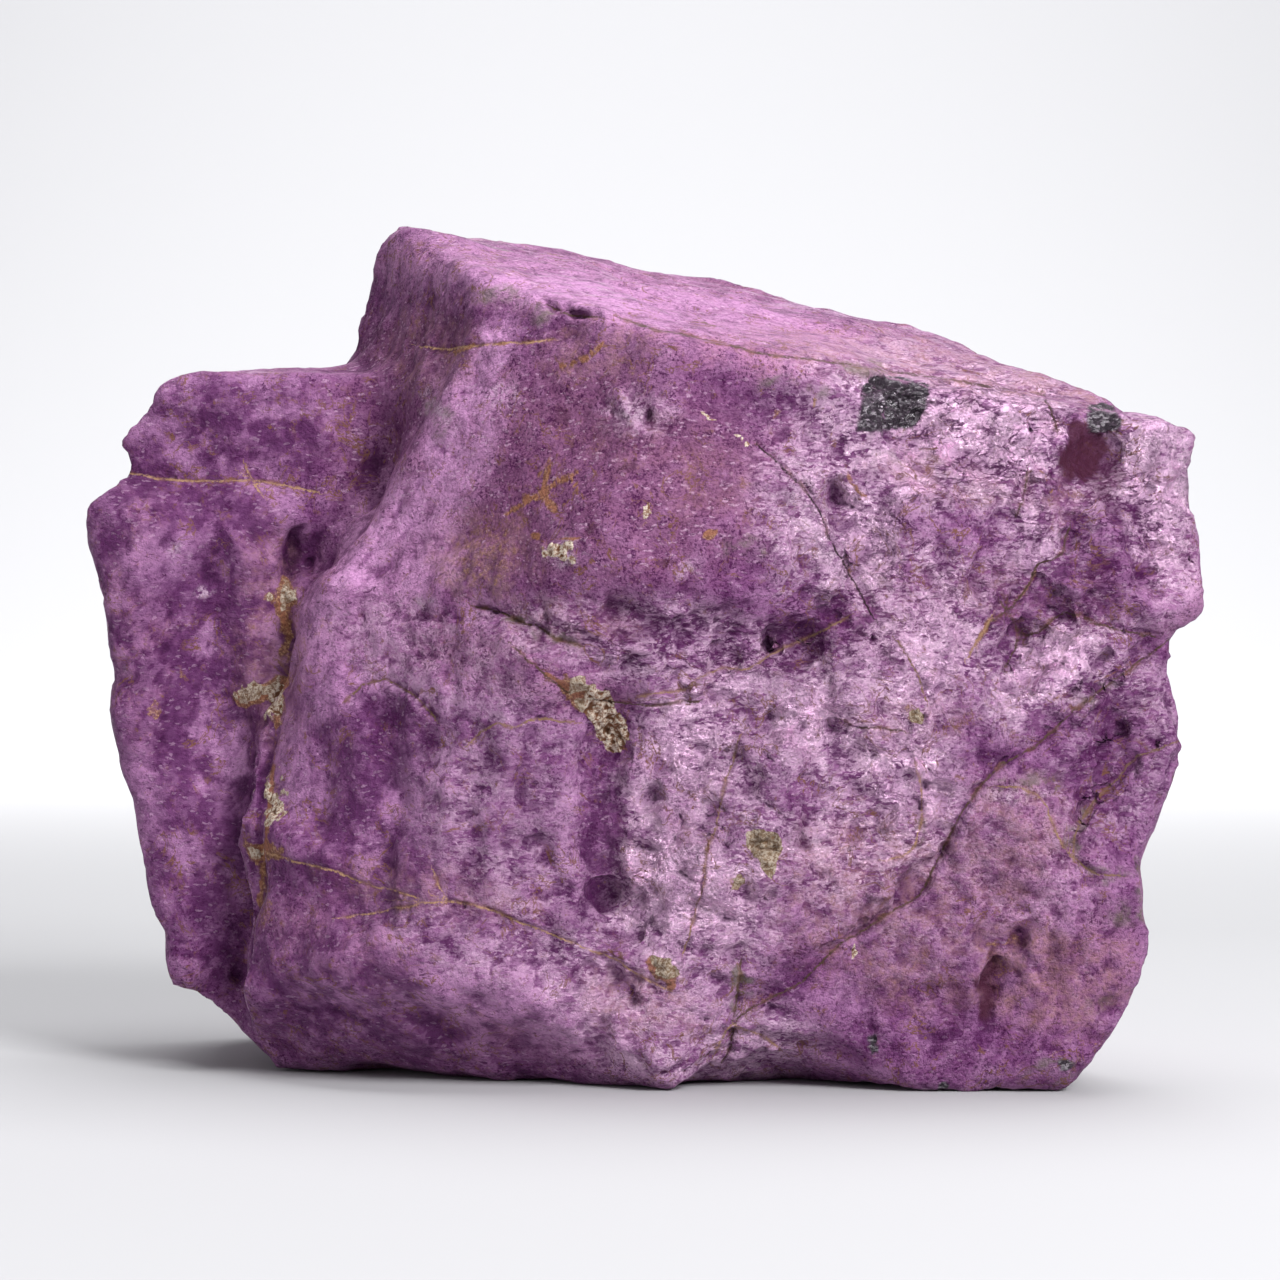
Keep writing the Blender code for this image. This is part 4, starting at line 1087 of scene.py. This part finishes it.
# %% Make the patterns
clouds = speckle(3.4, 3.0, 0.62)
patches = speckle(1.2, 3.0, 0.62)
flecks = speckle(0.38, 3.0, 0.75)
dust = speckle(0.16, 2.0, 0.75)
fibre = speckle(0.20, 3.0, 0.75, 1.5, fibrous)
hollow = ranged(mask("broad_hollow"), 0.08, 0.60)
edge_hollow = ranged(mask("fine_hollow"), 0.006, 0.060)
open_face = ranged(hollow, 0.0, 0.9, 1.0, 0.45)
satin_mask = times(times(mask("satin"), open_face), ranged(mask("maroon"), 0.0, 1.0, 1.0, 0.2))
dullness = times(ranged(patches, 0.34, 0.54, 0.60, 1.0), ranged(chance_of(panels), 0.10, 0.65, 0.60, 1.0))
sheen_veil = times(times(satin_mask, dullness), ranged(mask("sheen_and_shade"), -1.0, 0.3, 0.35, 1.15))
brightness = plus(times(chance_of(small_cells), 0.38), times(chance_of(large_cells), 0.30))
brightness = plus(plus(brightness, times(fibre, 0.5)), times(mask("sheen_and_shade"), 0.18))
brightness = plus(brightness, times(patches, 0.7))
lit = ranged(brightness, 0.70, 1.02)
matt = ranged(mask("satin"), 0.1, 0.7, 1.0, 0.25)
blotch = speckle(0.90, 3.0, 0.65)
print("the patterns have", len(tree.nodes), "nodes")

# %% Mix the body colour
colour = mixed(ranged(clouds, 0.36, 0.50), VIOLET, PURPLE)
colour = mixed(ranged(clouds, 0.50, 0.68), colour, LILAC)
colour = mixed(times(matt, ranged(blotch, 0.52, 0.60, 0.0, 0.48)), colour, LILAC)
colour = mixed(times(matt, ranged(blotch, 0.46, 0.36, 0.0, 0.75)), colour, VIOLET)
colour = mixed(times(mask("pinkish"), ranged(patches, 0.32, 0.58, 0.25, 0.9)), colour, DUSTY_PINK)
# Deep violet, partly a painted shade
deep_and_shade_here = times(ranged(patches, 0.60, 0.34, 0.30, 0.95), ranged(flecks, 0.36, 0.60, 1.0, 0.55))
colour = mixed(times(mask("deep_and_shade"), deep_and_shade_here), colour, VIOLET)
# Even mauve faces, and a painted shade on the faces that look up
colour = mixed(times(mask("calm_and_top_shade"), 0.6), colour, MAUVE)
soft_blotch = plus(times(clouds, 0.55), times(patches, 0.45))
colour = mixed(times(mask("blotchy"), ranged(soft_blotch, 0.56, 0.45, 0.18, 0.85)), colour, VIOLET)
colour = mixed(times(mask("blotchy"), ranged(soft_blotch, 0.53, 0.60, 0.0, 0.32)), colour, CLEAR_ORCHID)
colour = mixed(times(mask("orchid"), ranged(patches, 0.32, 0.54, 0.25, 0.95)), colour, CLEAR_ORCHID)
# Painted sheen and painted shade: the satin's small faces are painted dark, and the lit ones a silvery lilac
colour = mixed(times(sheen_veil, 0.7), colour, SATIN_SHADE)
colour = mixed(times(sheen_veil, lit), colour, SHEEN_LILAC)
# Painted glints: a few small faces, more on the even mauve faces, are painted the sheen lilac
flake_glints = times(ranged(chance_of(small_cells), 0.90, 0.98), ranged(mask("calm_and_top_shade"), 0.0, 1.0, 0.18, 0.34))
colour = mixed(flake_glints, colour, SHEEN_LILAC)
# Pale lilac: pale spots, and a painted sheen on the brighter satin panels
colour = mixed(times(mask("pale_and_sheen"), ranged(flecks, 0.40, 0.58)), colour, PALE_LILAC)
# Painted shade: broad hollows and fine crevices are darkened by multiplying with a saturated purple, less in
# the satin
hollow_shade_here = times(hollow, ranged(mask("satin"), 0.2, 1.0, 1.0, 0.45))
colour = mixed(times(hollow_shade_here, ranged(flecks, 0.35, 0.60, 0.95, 0.50)), colour, HOLLOW_SHADE, "MULTIPLY")
crevice_shade_here = times(edge_hollow, ranged(mask("satin"), 0.2, 1.0, 0.60, 0.35))
colour = mixed(crevice_shade_here, colour, HOLLOW_SHADE, "MULTIPLY")
# Raised edges are made lighter
colour = mixed(ranged(mask("fine_hollow"), -0.035, -0.006, 0.35, 0.0), colour, LILAC)
speck_dust = plus(dust, times(mask("calm_and_top_shade"), -0.025))
specks = times(ranged(speck_dust, 0.37, 0.50, 0.95, 0.0), ranged(blotch, 0.36, 0.60, 1.0, 0.45))
smoother = plus(mask("orchid"), mask("blotchy"))
specks = times(specks, ranged(smoother, 0.0, 1.0, 1.0, 0.4))
scratches = times(ranged(speckle(0.30, 4.0, 0.7, 1.2, slanted), 0.42, 0.34), matt)
colour = mixed(times(scratches, 0.8), colour, DEEPEST)
colour = mixed(times(specks, ranged(sheen_veil, 0.0, 1.0, 1.0, 0.4)), colour, DEEPEST)
print("the body has", len(tree.nodes), "nodes so far")

# %% [markdown]
# ### Stains, crusts and grains
#
# Thin dark lines run all over the stone, a painted shade in the fine crevices where grains meet, and rust
# has crept along some of them. Iron stain is ochre to orange brown and breaks up into small flecks. The
# crusts are cream with brown between their knobs, and the dark grains are nearly black with a painted grey
# glint. Each mask says where, and a pattern of its own breaks its edge, so nothing ends in a smooth outline.
# A crack is a thin line, nearly black or filled with tan, that fades out here and there, with rust along
# some of its edges.

# %% Choose the colours of what lies over it
OCHRE_BROWN = (0.165, 0.072, 0.035, 1.0)
GOLD = (0.430, 0.250, 0.125, 1.0)
RUST_ORANGE = (0.300, 0.125, 0.060, 1.0)
OLIVE_GREY = (0.130, 0.125, 0.085, 1.0)
CREAM = (0.620, 0.530, 0.440, 1.0)
BARK = (0.190, 0.135, 0.080, 1.0)
SEAM_TAN = (0.480, 0.290, 0.160, 1.0)
CRUST_BROWN = (0.260, 0.145, 0.095, 1.0)
TAN = (0.330, 0.165, 0.180, 1.0)
NEAR_BLACK = (0.026, 0.023, 0.027, 1.0)
GREY_GLINT = (0.210, 0.200, 0.212, 1.0)
CRACK_BROWN = (0.022, 0.012, 0.012, 1.0)
print("twelve colours lie over the body")


# %% Lay over the stains
def contour(pattern, width, level=0.5):
    """Thin wandering lines, where a pattern passes through a level."""
    gap = add("Math", "Value", {0: plus(pattern, -level)}, operation="ABSOLUTE")
    return ranged(gap, 0.0, width, 1.0, 0.0)


# Painted shade: thin dark lines in the fine crevices, wider and stronger where crazed
grain_lines = speckle(0.80, 4.0, 0.6, 0.5, slanted)
line_width = ranged(mask("crazed_shade"), 0.0, 1.0, 0.030, 0.060)
crevice_shade_lines = times(contour(grain_lines, line_width), ranged(patches, 0.44, 0.64, 1.0, 0.3))
colour = mixed(times(crevice_shade_lines, ranged(mask("crazed_shade"), 0.0, 1.0, 0.45, 0.95)), colour, DEEPEST)
rust_lines = times(contour(speckle(1.9, 4.0, 0.6, 0.8), 0.020, 0.47), ranged(clouds, 0.46, 0.60, 0.0, 0.9))
colour = mixed(rust_lines, colour, OCHRE_BROWN)
rust_haze = times(ranged(flecks, 0.56, 0.68), ranged(patches, 0.50, 0.64, 0.02, 0.75))
colour = mixed(rust_haze, colour, OCHRE_BROWN)
tan_here = times(ranged(patches, 0.36, 0.60, 0.10, 1.0), ranged(flecks, 0.36, 0.60, 0.25, 0.75))
colour = mixed(times(mask("tan"), tan_here), colour, TAN)
colour = mixed(times(mask("greenish"), ranged(patches, 0.40, 0.60, 0.1, 0.85)), colour, OLIVE_GREY)
ochre_mask = plus(mask("ochre"), mask("streak"))
ochre_here = times(ranged(plus(ochre_mask, flecks), 1.02, 1.45), 0.88)
ochre_colour = mixed(ranged(dust, 0.46, 0.66), OCHRE_BROWN, GOLD)
orange_here = times(ranged(mask("streak"), 0.2, 0.7), ranged(dust, 0.36, 0.52, 0.0, 0.90))
ochre_colour = mixed(orange_here, ochre_colour, RUST_ORANGE)
colour = mixed(ochre_here, colour, ochre_colour)
print("the stains are laid over")

# %% Lay over the crusts and the dark grains
maroon_here = times(ranged(mask("maroon"), 0.05, 0.80), ranged(flecks, 0.34, 0.62, 1.0, 0.85))
colour = mixed(maroon_here, colour, BROWN_RED)
crust_here = ranged(plus(times(mask("crust"), 1.4), flecks), 1.05, 1.35)
crust_colour = mixed(ranged(dust, 0.38, 0.58), CRUST_BROWN, CREAM)
bark_here = times(mask("crust_tone"), ranged(dust, 0.36, 0.58, 0.98, 0.50))
crust_colour = mixed(bark_here, crust_colour, BARK)
crust_pits = times(ranged(mask("fine_hollow"), 0.0, 0.04), ranged(mask("crust_tone"), 0.0, 1.0, 1.0, 0.3))
crust_colour = mixed(crust_pits, crust_colour, OCHRE_BROWN)
colour = mixed(crust_here, colour, crust_colour)
# Painted glints: grey cells in the near-black grains
glints = ranged(plus(chance_of(small_cells), times(fibre, 0.6)), 0.82, 1.20)
colour = mixed(mask("dark_grain"), colour, mixed(glints, NEAR_BLACK, GREY_GLINT))
print("crusts and dark grains laid over")

# %% Lay over the cracks
crack_side = plus(mask("crack_gap"), ranged(flecks, 0.3, 0.7, -0.05, 0.05))
crack_edge = add("Math", "Value", {0: crack_side}, operation="ABSOLUTE")
stained_edge = times(ranged(crack_edge, 0.05, 0.20, 1.0, 0.0), ranged(patches, 0.46, 0.62, 0.0, 0.60))
colour = mixed(stained_edge, colour, OCHRE_BROWN)
filled = mask("crack_fill")
crack_line = ranged(plus(crack_edge, times(filled, 0.010)), 0.022, 0.088, 1.0, 0.0)
broken = ranged(plus(flecks, times(filled, -0.04)), 0.34, 0.52, 0.25, 1.0)
crack_dark = times(times(crack_line, broken), ranged(patches, 0.64, 0.46, 0.55, 1.0))
colour = mixed(crack_dark, colour, mixed(filled, CRACK_BROWN, SEAM_TAN))
feed(shader.inputs["Base Color"], colour)
print("the colour has", len(tree.nodes), "nodes")

# %% [markdown]
# ### The satin sheen
#
# The cleavage faces of one crystal lie parallel to each other, whatever the shape of the stone. So the
# surface in a satin patch gets one shared tilt, which turns it half way to the light, and each cell then
# leans its own way from there. The sheen itself is a tinted reflection, sharper and stronger on the bright
# faces, which are partly metallic: a metal's reflection takes the lilac of the face. Crusts, rust and
# narrow hollows have hardly any sheen, and the dark grains have small glints of their own.

# %% Tilt the small faces
SHARED_TILT = (0.20, 0.0, 0.36)


def lengthened(direction, factor):
    """Makes a direction count for more or less."""
    return add("VectorMath", "Vector", {0: direction, "Scale": factor}, operation="SCALE")


tilts = [
    lengthened(SHARED_TILT, ranged(mask("satin"), 0.15, 0.60)),
    lengthened(tilt_of(panels), ranged(satin_mask, 0.0, 1.0, 0.05, 0.30)),
    lengthened(tilt_of(large_cells), ranged(satin_mask, 0.0, 1.0, 0.12, 0.34)),
    lengthened(tilt_of(small_cells), ranged(satin_mask, 0.0, 1.0, 0.30, 0.36)),
]
tilted = add("NewGeometry", "Normal")
for tilt in tilts:
    tilted = add("VectorMath", "Vector", {0: tilted, 1: tilt}, operation="ADD")
tilted = add("VectorMath", "Vector", {0: tilted}, operation="NORMALIZE")
wrinkles = times(fibre, ranged(satin_mask, 0.0, 1.0, 0.25, 0.7))
rough_height = plus(plus(times(flecks, 0.7), wrinkles), times(dust, 0.4))
bumped = add("Bump", "Normal",
             {"Height": rough_height, "Distance": 0.00022, "Strength": 0.85, "Normal": tilted})
feed(shader.inputs["Normal"], bumped)
print("small faces tilted")

# %% Set the sheen
covered = add("Math", "Value", {0: crust_here, 1: ochre_here}, operation="MAXIMUM")
bare = add("Math", "Value", {0: 1.0, 1: covered}, operation="SUBTRACT", use_clamp=True)
shine = times(times(sheen_veil, bare), ranged(edge_hollow, 0.0, 0.9, 1.0, 0.1))
lit_shine = times(shine, ranged(lit, 0.0, 1.0, 0.2, 1.0))
grain_glint = times(mask("dark_grain"), ranged(glints, 0.0, 1.0, 0.3, 1.0))
rough = plus(ranged(shine, 0.0, 1.0, 0.56, 0.32), ranged(patches, 0.35, 0.65, -0.06, 0.08))
feed(shader.inputs["Roughness"], plus(times(grain_glint, -0.26), rough))
shader.inputs["Specular Tint"].default_value = (0.92, 0.60, 0.90, 1.0)
feed(shader.inputs["Metallic"], times(lit_shine, ranged(mask("sheen_and_shade"), -0.5, 0.8, 0.6, 1.0)))
clear_shine = ranged(lit_shine, 0.0, 1.0, 0.16, 0.90)
feed(shader.inputs["Specular IOR Level"], plus(clear_shine, times(grain_glint, 0.6)))
stone.data.materials.append(mineral)
pick_only(stone)
bpy.ops.object.shade_smooth()
print("the finish has", len(tree.nodes), "nodes")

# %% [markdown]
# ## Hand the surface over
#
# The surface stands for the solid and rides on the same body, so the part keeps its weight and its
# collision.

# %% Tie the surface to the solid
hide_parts("purpurite_stone")
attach(stone, "root")
triangles = sum(len(face.vertices) - 2 for face in stone.data.polygons)
print("the surface has", triangles, "triangles")

# %% [markdown]
# ## Floor and light
#
# The stone stands on a plain pale sweep: a floor that curves up into a wall behind, so no edge shows. The
# light is a large soft one from the upper right in front, a weaker one from the left and one from above
# for the top face. A fourth lights only the wall behind, which has to be nearly white. A small stone needs
# lights that are small too, or they would be as large as the sky.

# %% Make the sweep
SWEEP_MIDDLE = 0.2
SWEEP_SIZE = (3.2, 2.4, 1.0)
WALL_HEIGHT = 1.6
BEND = 0.7
PAPER = (0.485, 0.485, 0.50, 1.0)

bpy.ops.object.select_all(action="DESELECT")
bpy.ops.mesh.primitive_plane_add(size=1.0, location=(0, SWEEP_MIDDLE, 0))
sweep = bpy.context.object
sweep.name = "studio_sweep"
bpy.ops.object.mode_set(mode="EDIT")
bpy.ops.transform.resize(value=SWEEP_SIZE)
bpy.ops.mesh.select_mode(type="EDGE")
bpy.ops.mesh.select_all(action="DESELECT")
bpy.ops.object.mode_set(mode="OBJECT")
for edge in sweep.data.edges:
    edge.select = all(sweep.data.vertices[corner].co.y > 0.5 for corner in edge.vertices)
bpy.ops.object.mode_set(mode="EDIT")
bpy.ops.mesh.extrude_region_move(TRANSFORM_OT_translate={"value": (0, 0, WALL_HEIGHT)})
bpy.ops.object.mode_set(mode="OBJECT")
for edge in sweep.data.edges:
    ends = [sweep.data.vertices[corner].co for corner in edge.vertices]
    edge.select = all(end.y > 0.5 and abs(end.z) < 0.001 for end in ends)
bpy.ops.object.mode_set(mode="EDIT")
bpy.ops.mesh.bevel(offset=BEND, segments=24, affect="EDGES")
bpy.ops.object.mode_set(mode="OBJECT")
bpy.ops.object.shade_smooth()
paper = bpy.data.materials.new("studio_paper")
paper.use_nodes = True
paper_shader = paper.node_tree.nodes["Principled BSDF"]
paper_shader.inputs["Base Color"].default_value = PAPER
paper_shader.inputs["Roughness"].default_value = 0.9
sweep.data.materials.append(paper)
print("the sweep has", len(sweep.data.polygons), "faces")

# %% Add the lights
# Each light: its place and its size in metres, and its power in watts
LIGHTS = {
    "key": ((0.24, -0.34, 0.28), 0.18, 2.9),
    "left_fill": ((-0.42, -0.30, 0.16), 0.36, 0.30),
    "top": ((0.04, 0.06, 0.42), 0.34, 1.85),
    "backdrop": ((0.0, 0.55, 0.60), 0.80, 12.1),
}
STONE_MIDDLE = Vector((0, 0, 0.024))
WALL = Vector((0, 1.2, 0.1))
for name, (location, size, power) in LIGHTS.items():
    aim = WALL if name == "backdrop" else STONE_MIDDLE
    turned = (aim - Vector(location)).to_track_quat("-Z", "Y").to_euler()
    bpy.ops.object.light_add(type="AREA", location=location, rotation=turned)
    light = bpy.context.object
    light.name = name
    light.data.size = size
    light.data.energy = power
world = bpy.data.worlds.new("studio")
world.use_nodes = True
room = world.node_tree.nodes["Background"]
room.inputs["Color"].default_value = (0.94, 0.94, 0.97, 1.0)
room.inputs["Strength"].default_value = 0.26
bpy.context.scene.world = world
print(len(LIGHTS), "lights")
